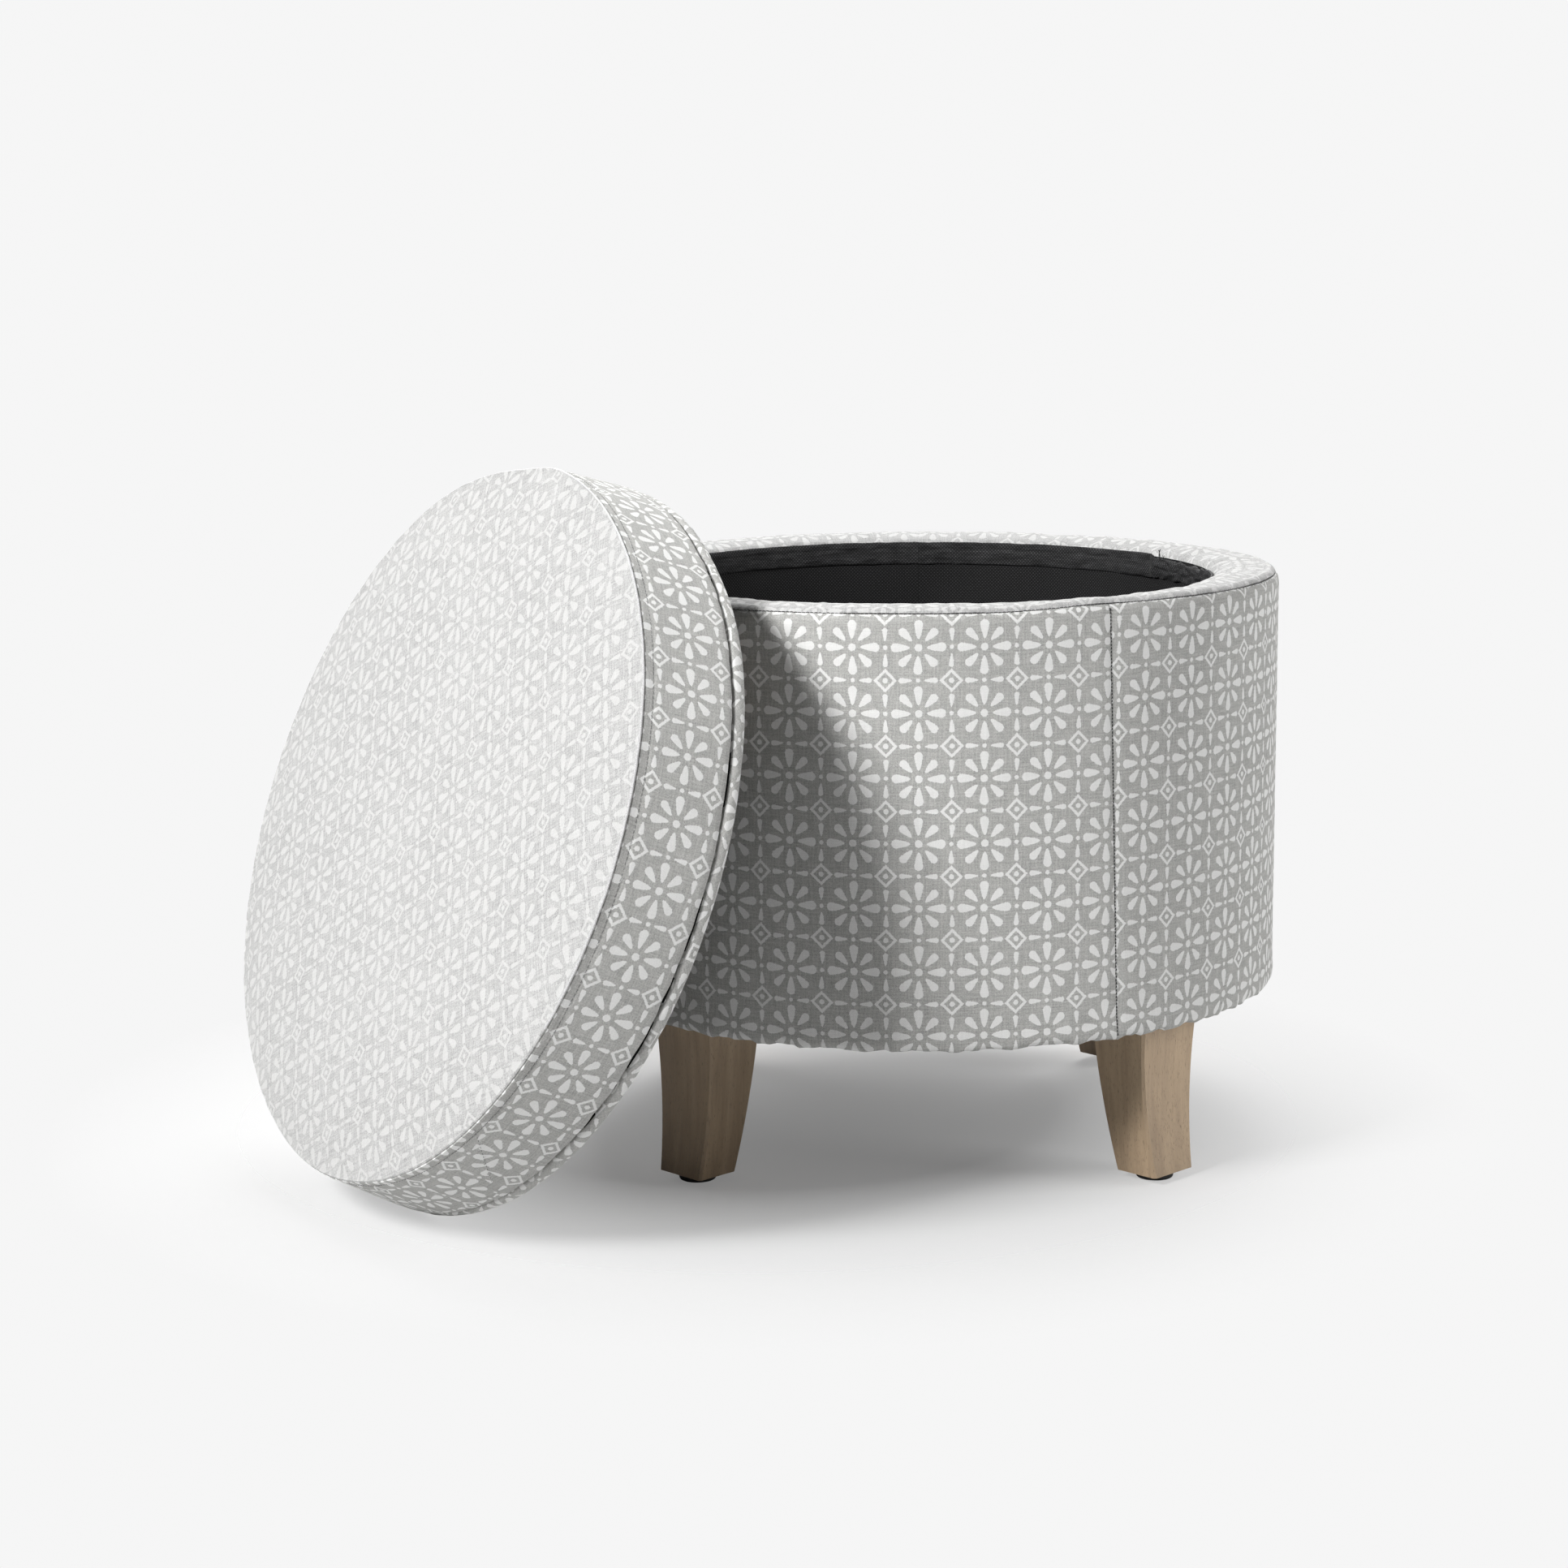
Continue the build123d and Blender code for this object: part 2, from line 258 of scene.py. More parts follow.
def printedCloth(name, ground=clothLook["ground"], motif=clothLook["print"], blue=0.966):
    finish, wire = startFinish(name)
    place = wire.clothPlace()
    x, y, flat = place.split()
    step = pi / clothLook["thread"]
    warp, weft = wire.maths("SINE", x * step), wire.maths("SINE", y * step)
    over = warp * weft > 0
    weave = over * abs(warp) + (1 - over) * abs(weft)
    slubUp = wire.mottle(wire.point(X=x * 0.9, Y=y * 0.07), 1.0)
    slubAcross = wire.mottle(wire.point(X=x * 0.07, Y=y * 0.9, Z=7.0), 1.0)
    heather = (slubUp + slubAcross) * 0.5
    fleck = wire.mottle(place, 1.1, 2.0, 0.75)
    cloud = wire.mottle(place, 0.012, 1.0)
    tone = heather.level(0.34, 0.66, -clothLook["heather"], clothLook["heather"])
    tone = tone + fleck.spread(-clothLook["fleck"], clothLook["fleck"]) + cloud.spread(-0.012, 0.012)
    # painted shade and highlight: the tone is lighter on the thread crowns and darker between the threads
    tone = tone + weave.level(0, 1, -0.03, 0.02) + ground
    groundColour = wire.colour(tone * 1.004, tone, tone * blue)
    shade = fleck.spread(-0.035, 0.035) + heather.level(0.35, 0.65, -0.025, 0.025) + motif
    printColour = wire.colour(shade, shade, shade * 0.985)
    depth = wire.node("ShaderNodeGroup", {"node_tree": rosetteGroup}, {"Place": place})
    ragged = fleck.spread(-0.16, 0.16) + heather.level(0.35, 0.65, -0.1, 0.1)
    printed = wire.maths("ADD", (depth + ragged) / clothLook["soften"], 0.5, clamp=True)
    colour = wire.mix(printed, groundColour, printColour)
    rough = clothLook["rough"] - printed * 0.08 + fleck.spread(-0.04, 0.04)
    height = weave * 0.6 + heather * 0.9 + fleck * 0.4 + printed * 0.15
    sheen = {"Sheen_Weight": 0.06, "Sheen_Roughness": 0.5, "Specular_IOR_Level": 0.2}
    endFinish(wire, colour, rough, height, clothLook["bump"], **sheen)
    return finish


def blackNonwoven(name, tone=0.006, paintedGlints=0.04, creaseDepthAndShade=0.0, lattice=2.45):
    # spun cloth pressed with a fine lattice of smoother points, painted lighter as painted glints
    finish, wire = startFinish(name)
    place = wire.clothPlace()
    x, y, flat = place.split()
    step = 2 * pi / lattice
    near = wire.maths("SINE", x * step) * wire.maths("SINE", y * step)
    points = near.level(0.2, 0.8)
    fibre = wire.mottle(place, 0.9, 3.0, 0.7)
    cloud = wire.mottle(place, 0.02)
    crease = wire.mottle(wire.point(X=x * 0.07, Y=y * 0.2), 1.0, 3.0)
    # painted glints: the pressed points are lighter in colour
    lift = points * paintedGlints * fibre.level(0.35, 0.7, 0.4, 1)
    level = tone + fibre.spread(-0.002, 0.004) + cloud.spread(-0.001, 0.002) + lift
    # painted highlight and shade: the tone rises and falls with the creases, which the bump also raises
    level = level * crease.spread(1 - 0.4 * creaseDepthAndShade, 1 + 0.6 * creaseDepthAndShade)
    height = fibre * 0.6 - points * 0.5 + crease * (14 * creaseDepthAndShade)
    rough = 0.72 - points * 0.2 + fibre * 0.1
    endFinish(wire, wire.colour(level, level, level * 1.03), rough, height, 0.00012, Specular_IOR_Level=0.16)
    return finish


def wood(name, light, dark, grain=1.0, pores=1.0, rough=0.42, coat=0.0):
    # straight grained timber, its grain along Z
    finish, wire = startFinish(name)
    place = wire.objectPlace()
    stretched = wire.vector("MULTIPLY", place, (1, 1, 0.04))
    bands = wire.mottle(stretched, 95 * grain, 3.0, 0.55)
    streaks = wire.mottle(stretched, 420 * grain, 2.0, 0.6)
    fine = wire.mottle(wire.vector("MULTIPLY", place, (1, 1, 0.12)), 1900 * grain)
    cloud = wire.mottle(place, 14)
    pore = fine.level(0.6, 0.72) * pores
    share = bands.spread(0, 0.55) + streaks.spread(0, 0.3) + cloud.spread(0, 0.25)
    colour = wire.mix(pore * 0.4, wire.mix(share, dark, light), darker(dark, 0.45))
    height = streaks * 0.5 + bands * 0.3 - pore
    rough = rough + streaks.spread(-0.06, 0.08)
    endFinish(wire, colour, rough, height, 0.00012, Coat_Weight=coat, Coat_Roughness=0.35)
    return finish


plyLook = {
    "layers": 9, "dark": (0.42, 0.27, 0.14, 1), "light": (0.62, 0.45, 0.27, 1),
    "cross": (0.30, 0.17, 0.085, 1), "glue": (0.10, 0.05, 0.025, 1), "end": (0.2, 0.11, 0.05, 1),
}


def plywood(name, turn, bottom, thickness):
    # veneers show as layers round the edge, and as plain grain on the faces
    finish, wire = startFinish(name)
    sockets = {"Vector": wire.objectPlace(), "Location": bottom, "Rotation": turn}
    place = wire.node("ShaderNodeMapping", {"vector_type": "TEXTURE"}, sockets)
    x, y, z = place.split()
    wobble = wire.mottle(place, 60) * 0.0003
    layer = (z + wobble) / (thickness / plyLook["layers"])
    even = layer % 2 > 1
    faceGrain = wire.mottle(wire.vector("MULTIPLY", place, (1, 0.06, 1)), 160, 4.0, 0.6)
    endGrain = wire.mottle(place, 900, 2.0, 0.6)
    glue = abs((layer % 1) - 0.5) > 0.44
    colour = wire.mix(faceGrain.spread(0, 1), plyLook["dark"], plyLook["light"])
    colour = wire.mix(even * 0.35, colour, plyLook["cross"])
    colour = wire.mix(glue * 0.6, colour, plyLook["glue"])
    colour = wire.mix(endGrain.level(0.5, 0.8, 0, 0.35), colour, plyLook["end"])
    height = faceGrain * 0.6 + endGrain * 0.3 - glue * 0.5
    endFinish(wire, colour, 0.62 + faceGrain * 0.15, height, 0.00015)
    return finish


def hardboard(name, dark=(0.15, 0.075, 0.035, 1), light=(0.27, 0.155, 0.08, 1), speck=(0.4, 0.26, 0.15, 1)):
    finish, wire = startFinish(name)
    place = wire.objectPlace()
    fibre = wire.mottle(wire.vector("MULTIPLY", place, (1, 1, 2.5)), 700, 4.0, 0.7)
    flecks = wire.mottle(place, 240, 2.0, 0.6)
    colour = wire.mix(fibre.spread(0, 1), dark, light)
    colour = wire.mix(flecks.level(0.58, 0.7, 0, 0.5), colour, speck)
    endFinish(wire, colour, 0.6 + fibre * 0.15, fibre + flecks * 0.4, 0.00015)
    return finish


def foam(name, tone=(0.86, 0.8, 0.62, 1), cell=1100.0):
    finish, wire = startFinish(name)
    place = wire.objectPlace()
    poreDepthAndShade = wire.node("ShaderNodeTexVoronoi", {}, {"Vector": place, "Scale": cell}).level(0.05, 0.6)
    cloud = wire.mottle(place, 30)
    # painted shade: the pores are darker in colour, and the same mask sinks them in the bump
    colour = wire.mix(poreDepthAndShade * 0.8 + cloud * 0.2, darker(tone, 0.55), tone)
    endFinish(wire, colour, 0.95 - cloud * 0.1, poreDepthAndShade, 0.0003, Specular_IOR_Level=0.1)
    return finish


def steel(name, tone=(0.62, 0.62, 0.6, 1), rough=0.32):
    finish, wire = startFinish(name)
    place = wire.objectPlace()
    spangle = wire.mottle(place, 900, 3.0, 0.6)
    stain = wire.mottle(place, 120)
    colour = wire.mix(spangle.level(0.35, 0.65) * 0.6 + stain * 0.4, darker(tone, 0.72), tone)
    endFinish(wire, colour, rough + spangle.spread(-0.06, 0.1), spangle, 0.00003, Metallic=1.0)
    return finish


def plastic(name, tone=0.014):
    finish, wire = startFinish(name)
    place = wire.objectPlace()
    grain = wire.mottle(place, 2200, 2.0, 0.6)
    scuff = wire.mottle(place, 160, 3.0, 0.6)
    colour = wire.mix(scuff.level(0.5, 0.75), grey(tone), grey(tone * 3))
    endFinish(wire, colour, 0.42 + scuff.spread(0, 0.2), grain, 0.00004)
    return finish


def thread(name, tone):
    finish, wire = startFinish(name)
    twist = wire.mottle(wire.objectPlace(), 1800, 2.0, 0.6)
    colour = wire.mix(twist.spread(0, 1), grey(tone * 0.7), grey(tone * 1.3))
    endFinish(wire, colour, 0.7 + twist * 0.15, twist, 0.00008, Sheen_Weight=0.2)
    return finish


clothFinish = printedCloth("printedCanvas")
# painted shade: darker copies of the same cloth for the lid top and the rim
topPaintedShadeFinish = printedCloth("printedCanvasTopPaintedShade", clothLook["topGroundPaintedShade"], clothLook["topPrintPaintedShade"], 0.99)
rimPaintedShadeFinish = printedCloth("printedCanvasRimPaintedShade", clothLook["rimGroundPaintedShade"], clothLook["rimPrintPaintedShade"], 0.99)
liningFinish = blackNonwoven("blackNonwovenLining")
dustFinish = blackNonwoven("blackDustCloth", 0.011, 0.012)
tapeFinish = blackNonwoven("blackBinding", 0.013, 0.05, 1.0)
darkThread = thread("darkThread", 0.035)
seamThreadFinish = thread("greyThread", 0.13)
# painted highlight for the folded edge along the lid top's seam
paintedHighlightEdgeFinish = thread("paintedHighlightSeamEdge", 0.5)
blackThread = thread("blackThread", 0.008)
foamFinish = foam("creamFoam")
steelFinish = steel("zincPlatedSteel")
stapleFinish = steel("stapleWire", (0.66, 0.65, 0.62, 1), 0.28)
plasticFinish = plastic("blackPlastic")
legTones = (0.52, 0.385, 0.25, 1), (0.32, 0.23, 0.15, 1)
postTones = (0.66, 0.47, 0.27, 1), (0.46, 0.28, 0.14, 1)
legWood = wood("stainedLegWood", *legTones, pores=1.5, rough=0.5, coat=0.04)
postWood = wood("pinePosts", *postTones, grain=0.7, pores=0.2, rough=0.6)
print("finishes mixed,", len(bpy.data.materials), "materials")


# Shaping
def editAll():
    bpy.ops.object.mode_set(mode="EDIT")
    bpy.ops.mesh.select_all(action="SELECT")


def stopEditing():
    bpy.ops.object.mode_set(mode="OBJECT")


def deselectAll():
    if bpy.context.object and bpy.context.object.mode != "OBJECT":
        stopEditing()
    bpy.ops.object.select_all(action="DESELECT")


def makeActive(piece):
    deselectAll()
    piece.select_set(True)
    bpy.context.view_layer.objects.active = piece


def applyPlace():
    bpy.ops.object.transform_apply(location=True, rotation=True, scale=True)


def nameIt(piece, name):
    piece.name = piece.data.name = name
    return piece


def sweepRing(name, profile, segments, closed=False, pole=False):
    # a circle drawn up and in through the profile's (radius, height) points, in millimetres
    deselectAll()
    radius, height = (value / 1000 for value in profile[0])
    bpy.ops.mesh.primitive_circle_add(vertices=segments, radius=radius, location=(0, 0, height))
    piece = nameIt(bpy.context.object, name)
    editAll()
    points = profile[1:] + (profile[:1] if closed else [])
    for nextRadius, nextHeight in points:
        nextRadius, nextHeight = nextRadius / 1000, nextHeight / 1000
        bpy.ops.mesh.extrude_region_move(TRANSFORM_OT_translate={"value": (0, 0, nextHeight - height)})
        ratio = nextRadius / radius
        bpy.ops.transform.resize(value=(ratio, ratio, 1), center_override=(0, 0, nextHeight))
        radius, height = nextRadius, nextHeight
    if pole:
        bpy.ops.mesh.merge(type="CENTER")
    bpy.ops.mesh.select_all(action="SELECT")
    bpy.ops.mesh.remove_doubles(threshold=0.00001)
    bpy.ops.mesh.normals_make_consistent(inside=False)
    stopEditing()
    applyPlace()
    return piece


def sweepDisc(name, look):
    # a flat round sheet, closed in the middle
    profile = [(ring, look["height"]) for ring in [look["radius"], *look["rings"], 3]]
    return sweepRing(name, profile, look["segments"], pole=True)


def faceFrom(piece, radius, height):
    # turns every face away from the circle of that radius and height
    outward = 0
    for face in piece.data.polygons:
        middle = face.center
        flat = Vector((middle.x, middle.y, 0)).normalized() * radius / 1000
        outward += face.normal.dot(middle - flat - Vector((0, 0, height / 1000))) * face.area
    if outward < 0:
        makeActive(piece)
        editAll()
        bpy.ops.mesh.flip_normals()
        stopEditing()


def moveVertices(piece, change):
    for vertex in piece.data.vertices:
        vertex.co = change(vertex.co)
    piece.data.update()


def layCloth(piece, lay):
    # gives every face's corners their place on the flat cloth, in metres
    sheet = piece.data.uv_layers.new(name="cloth")
    for face in piece.data.polygons:
        for loop in face.loop_indices:
            corner = piece.data.vertices[piece.data.loops[loop].vertex_index].co
            sheet.data[loop].uv = lay(corner, face.center)


def layFlat(corner, middle):
    return corner.x, corner.y


def layRound(radius):
    return lambda corner, middle: (radius * besideAngle(angleOf(corner), angleOf(middle)), corner.z)


def sewCloth(piece, settle, inside, lay, thickness):
    # settles a sheet, faces it away from the circle inside, and thickens it inwards
    moveVertices(piece, settle)
    faceFrom(piece, *inside)
    layCloth(piece, lay)
    made = piece.modifiers.new("thickness", "SOLIDIFY")
    made.thickness = thickness
    made.offset = -1
    makeActive(piece)
    bpy.ops.object.modifier_apply(modifier=made.name)


def finishPiece(piece, body, finish, smooth=40):
    piece.data.materials.clear()
    piece.data.materials.append(finish)
    piece.data.transform(drumPlace if body == "drum" else lidPlace)
    makeActive(piece)
    bpy.ops.object.shade_smooth_by_angle(angle=radians(smooth))
    piece.data.update()
    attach(piece, body)


def finishPart(piece, place, finish, chosen):
    # a second finish on the faces whose middle is chosen
    piece.data.materials.append(finish)
    for face in piece.data.polygons:
        if chosen(place.inverted() @ face.center):
            face.material_index = 1


def smoothPath(points, step):
    # rounds a profile's corners with a curve through its points, about a step apart
    path = []
    padded = [points[0]] + points + [points[-1]]
    for before, start, end, after in zip(padded, padded[1:], padded[2:], padded[3:]):
        count = max(1, round(hypot(end[0] - start[0], end[1] - start[1]) / step))
        for number in range(count):
            t = number / count
            point = []
            for a, b, c, d in zip(before, start, end, after):
                cubic = 2 * a - 5 * b + 4 * c - d + t * (3 * (b - c) + d - a)
                point.append(b + 0.5 * t * (c - a + t * cubic))
            path.append(tuple(point))
    return path + [points[-1]]


def angleOf(place):
    # on the drum, from the front towards the right
    return atan2(place.x, -place.y)


def aroundDrum(place):
    return hypot(place.x, place.y), angleOf(place)


def aroundLid(place):
    return hypot(place.x, place.y), atan2(place.y, place.x)


def besideAngle(angle, start):
    # the same angle, turned to within half a circle of the start
    return start + (angle - start + pi) % (2 * pi) - pi


def fromFront(angle, reach, height):
    # a point at an angle counted from the front
    return Vector((sin(angle) * reach, -cos(angle) * reach, height))


def fromRight(angle, reach, height):
    # a point at an angle counted from X
    return Vector((cos(angle) * reach, sin(angle) * reach, height))


def ripple(angle, height, fine, seed=0.0):
    # noise that closes round the drum
    return noise.noise(Vector((sin(angle) * fine, cos(angle) * fine, height + seed)))


def lidRipple(angle, height, fine):
    return noise.noise(fromRight(angle, fine, height))


def ramp(value, low, high):
    share = min(max((value - low) / (high - low), 0), 1)
    return share * share * (3 - 2 * share)


def turned(angle, axis="Z"):
    return Matrix.Rotation(angle, 4, axis)


def copyAll(name, pattern, places):
    # copies of one small piece, joined
    copies = []
    for place in places:
        copy = pattern.copy()
        copy.data = pattern.data.copy()
        copy.data.transform(place)
        scene.collection.objects.link(copy)
        copies.append(copy)
    bpy.data.objects.remove(pattern)
    deselectAll()
    for copy in copies:
        copy.select_set(True)
    bpy.context.view_layer.objects.active = copies[0]
    bpy.ops.object.join()
    return nameIt(bpy.context.object, name)


def makeStitch(length, width, height):
    # one stitch of thread along X, sunk at both ends
    deselectAll()
    bpy.ops.mesh.primitive_cylinder_add(vertices=6, radius=0.5, depth=1, rotation=(0, pi / 2, 0))
    stitch = bpy.context.object
    applyPlace()
    editAll()
    bpy.ops.transform.resize(value=(length, width, height))
    bpy.ops.mesh.bisect(plane_co=(0, 0, 0), plane_no=(1, 0, 0))
    stopEditing()
    moveVertices(stitch, lambda co: co - Vector((0, 0, height * 0.9 * (2 * abs(co.x) / length) ** 2)))
    return stitch


def stitchRing(name, radius, height, pitch, length, width, outward, shake):
    # stitches round a circle; outward tells how far each leans from the radius
    random.seed(name)
    count = round(2 * pi * radius / pitch)
    pattern = makeStitch(length / 1000, width / 1000, width / 1000)
    places = []
    for number in range(count):
        offset = random.uniform(-shake, shake)
        tip = random.uniform(-0.16, 0.16)
        move = Matrix.Translation((0, -radius / 1000, (height + offset) / 1000))
        around = turned(2 * pi * number / count) @ move
        places.append(around @ turned(pi / 2 - outward, "X") @ turned(tip))
    return copyAll(name, pattern, places)


# Drum: cloth up the side, from under the base to the seam on the rim's shoulder
drumLook = {
    "under": [(170, 106.9), (195, 106.6)],
    "foot": [(226, 106.5), (234, 106.35), (238.2, 107.6), (240, 111.5), (240, 118)],
    "side": [(240, height) for height in range(124, 362, 6)],
    "shoulder": [(240, 362), (240, 370), (239.3, 374), (237.3, 376.6), (235.9, 376.2)],
    "segments": 360, "thickness": 0.0012,
    # heights between which the foot fades out, its puckers and bulges, and a side seam's groove
    "footSpan": (0.107, 0.124), "pucker": 0.0026, "bulge": 0.0020, "groove": 0.0007,
}
sideSeam = {
    "turn": radians(30.0), "backTurn": radians(-158), "slant": radians(1.65), "middle": 0.241, "span": 0.249,
}
drumPrint = {
    # where the print starts, where the cloth turns in, and how far the print jumps at a seam
    "top": 0.3569, "radius": 0.240, "turnIn": 0.2385, "jump": (0.012, -0.003), "backJump": (0.007, -0.002),
}


def seamLean(height):
    return sideSeam["slant"] * (height - sideSeam["middle"]) / sideSeam["span"]


def rimRise(angle):
    # the rim stands a little higher at the back than at the front
    return 0.0003 - 0.0023 * cos(angle)


def seamRise(angle, rise=0.0025):
    # the shoulder seam climbs up to the side seam, stays up round the back and comes down on the left
    return rise * ramp(angle, 0.17, 0.5) + rise * (1 - ramp(angle, -2.9, -1.5))


def drumSwell(angle, height):
    # how far the cloth stands off the plain cylinder
    low = 1 - ramp(height, *drumLook["footSpan"])
    high = ramp(height, 0.352, 0.372)
    swell = 0.00035 * ripple(angle, height * 14, 7) + 0.00015 * ripple(angle, height * 40, 24, 5)
    bulge = drumLook["bulge"] * max(ripple(angle, 0, 24, 9), -0.2) * low
    return swell + bulge + 0.0003 * ripple(angle, 0, 90, 3) * high


def settleDrumCloth(co):
    radius, angle = aroundDrum(co)
    low = 1 - ramp(co.z, *drumLook["footSpan"])
    side = ramp(radius, 0.228, 0.239)
    # the columns beside a seam are drawn in to it, and the seam is sunk
    groove = 0
    for seam in (sideSeam["turn"], sideSeam["backTurn"]):
        beside = degrees(angle - seam)
        if abs(beside) < 1.5:
            angle = seam + radians(0.35 * round(beside))
            groove = drumLook["groove"] if abs(beside) < 0.5 else 0
    angle -= seamLean(co.z)
    reach = radius + (drumSwell(angle, co.z) - groove) * side
    pucker = max(min(ripple(angle, 0, 26, 21) + 0.7 * ripple(angle, 0, 60, 4), 0.35), -0.5)
    lift = drumLook["pucker"] * pucker * low * side
    lift += seamRise(angleOf(fromFront(angle, 1, 0))) * ramp(co.z, 0.33, 0.374)
    return fromFront(angle, reach, co.z + lift)


def layOnDrum(corner, middle):
    start = angleOf(middle)
    column = start + seamLean(middle.z)
    across = drumPrint["radius"] * besideAngle(angleOf(corner), start)
    turnedIn = max(0, drumPrint["turnIn"] - hypot(corner.x, corner.y))
    up = corner.z - drumPrint["top"] + (-turnedIn if corner.z < 0.2 else turnedIn)
    jump = (0, 0)
    if column > sideSeam["turn"]:
        jump = drumPrint["jump"]
    elif column < sideSeam["backTurn"]:
        jump = drumPrint["backJump"]
    return across + jump[0], up + jump[1]


drumPath = drumLook["under"] + smoothPath(drumLook["foot"], 1.6)
drumPath += drumLook["side"] + smoothPath(drumLook["shoulder"], 1.2)
drumCloth = sweepRing("drumCloth", drumPath, drumLook["segments"])
sewCloth(drumCloth, settleDrumCloth, (200, 240), layOnDrum, drumLook["thickness"])
finishPiece(drumCloth, "drum", clothFinish)
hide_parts("side_cover")
print("drum cloth sewn")

# Rim: a gathered strip from the seam over the crest and down into the mouth
rimLook = {
    "crest": [
        (236.1, 376.5), (237.4, 377.6), (236.0, 379.6), (231, 381.4), (222, 382.8), (213, 382.6),
        (204.5, 380.9), (199.3, 378.6), (197.3, 375.0)],
    "inside": [(197.1, 371), (197.1, 366), (197.1, 359)],
    "segments": 480, "thickness": 0.0011,
    # how fine and how deep the gathers are, and the part of the ring where they are tight
    "fine": 22, "deep": 0.0014, "tightFrom": radians(55), "tightTo": radians(150),
}


def settleRim(co):
    radius, angle = aroundDrum(co)
    inward = ramp(0.236 - radius, 0, 0.038)
    tight = ramp(angle, rimLook["tightFrom"] - 0.35, rimLook["tightFrom"] + 0.5)
    tight = 0.55 + 0.75 * tight * (1 - ramp(angle, rimLook["tightTo"], rimLook["tightTo"] + 0.4))
    drift = angle + 0.05 * inward * ripple(angle, 0, 5, 31)
    folds = ripple(drift, inward * 0.7, rimLook["fine"], 2) + 0.5 * ripple(drift, inward * 1.5, 55, 6)
    depth = rimLook["deep"] * tight * folds * (0.25 + 0.75 * inward)
    soft = 0.0006 * ripple(angle, 0, 6, 12)
    topSide = ramp(co.z, 0.3745, 0.3775)
    push = 0.5 * depth * ramp(0.202 - radius, 0, 0.004) * ramp(co.z, 0.358, 0.366)
    outer = ramp(radius, 0.2275, 0.2345)
    lift = (depth + soft - 0.0004) * topSide + outer * seamRise(angle) + (1 - outer) * rimRise(angle)
    return fromFront(angle, radius - push, co.z + lift)


def layOnRim(corner, middle):
    radius, angle = aroundDrum(corner)
    angle = besideAngle(angle, angleOf(middle))
    outward = radius - 0.215 - (max(0, 0.373 - corner.z) if radius < 0.21 else 0)
    skew = 0.003 * sin(2 * angle - 0.3)
    return 0.220 * angle + 0.15 * outward * sin(2 * angle), outward + skew


rimBand = sweepRing("rimBand", smoothPath(rimLook["crest"], 1.3) + rimLook["inside"], rimLook["segments"])
sewCloth(rimBand, settleRim, (218, 366), layOnRim, rimLook["thickness"])
finishPiece(rimBand, "drum", rimPaintedShadeFinish)
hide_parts("rim_band")
print("rim band gathered")

# Dark stitches in the seam on the shoulder, and up the side seams
shoulderSeam = {
    "radius": 237.55, "height": 376.95, "pitch": 2.6, "length": 2.1, "width": 0.5, "outward": 0.7,
    "shake": 0.2,
}
sideThread = {
    "stitches": 124, "from": 0.110, "pitch": 0.00216, "reach": 0.23975, "size": (0.0020, 0.0008, 0.0009),
}
shoulderStitches = stitchRing("shoulderStitches", **shoulderSeam)
moveVertices(shoulderStitches, lambda co: co + Vector((0, 0, seamRise(angleOf(co)))))
finishPiece(shoulderStitches, "drum", darkThread, 60)

random.seed("side seams")
places = []
for seam in (sideSeam["turn"], sideSeam["backTurn"]):
    for number in range(sideThread["stitches"]):
        height = sideThread["from"] + number * sideThread["pitch"]
        angle = seam - seamLean(height) + random.uniform(-0.0006, 0.0006)
        reach = sideThread["reach"] + drumSwell(angle, height)
        place = turned(angle) @ Matrix.Translation((0, -reach, height))
        places.append(place @ turned(pi / 2, "X") @ turned(pi / 2 + random.uniform(-0.3, 0.1)))
sideStitches = copyAll("sideStitches", makeStitch(*sideThread["size"]), places)
finishPiece(sideStitches, "drum", darkThread, 60)
print("drum seams stitched")

# Foam round the side and over the rim, under the cloth
sideFoamLook = {
    "foot": [(231.1, 107.6), (234, 107.4), (237.9, 108.6), (238.2, 112)],
    "outside": [(238.2, height) for height in range(130, 360, 20)] + [(238.2, 369.8)],
    "inside": [(231.1, 369.8)] + [(231.1, height) for height in range(350, 120, -20)],
    "segments": 180,
}
sideFoamPath = sideFoamLook["foot"] + sideFoamLook["outside"] + sideFoamLook["inside"]
sideFoam = sweepRing("sideFoam", sideFoamPath, sideFoamLook["segments"], closed=True)
faceFrom(sideFoam, 234.6, 240)
finishPiece(sideFoam, "drum", foamFinish)
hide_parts("side_padding")

rimFoamLook = {
    "base": [(198.7, 370.1), (218, 370.1), (238, 370.1)],
    "crest": [
        (238.2, 372), (237.2, 374.4), (234.6, 377.3), (229, 379.6), (219, 380.9), (208, 379.6),
        (200, 376.4), (198.7, 374)],
    "segments": 240,
}


def settleRimFoam(co):
    return co + Vector((0, 0, ramp(co.z, 0.371, 0.378) * (rimRise(angleOf(co)) - 0.0002)))


rimFoamPath = smoothPath(rimFoamLook["base"], 6) + smoothPath(rimFoamLook["crest"], 3)
rimFoam = sweepRing("rimFoam", rimFoamPath, rimFoamLook["segments"], closed=True)
moveVertices(rimFoam, settleRimFoam)
faceFrom(rimFoam, 218, 375)
finishPiece(rimFoam, "drum", foamFinish)
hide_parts("rim_padding")

# Black lining of the well
well = {
    "radius": 196.25, "bottom": 125.6, "top": 375.7, "depth": 0.25, "segments": 240, "thickness": 0.0007,
}
floorLook = {
    "radius": 196.0, "height": 126.2, "rings": range(190, 8, -9), "segments": 120, "thickness": 0.0006,
}


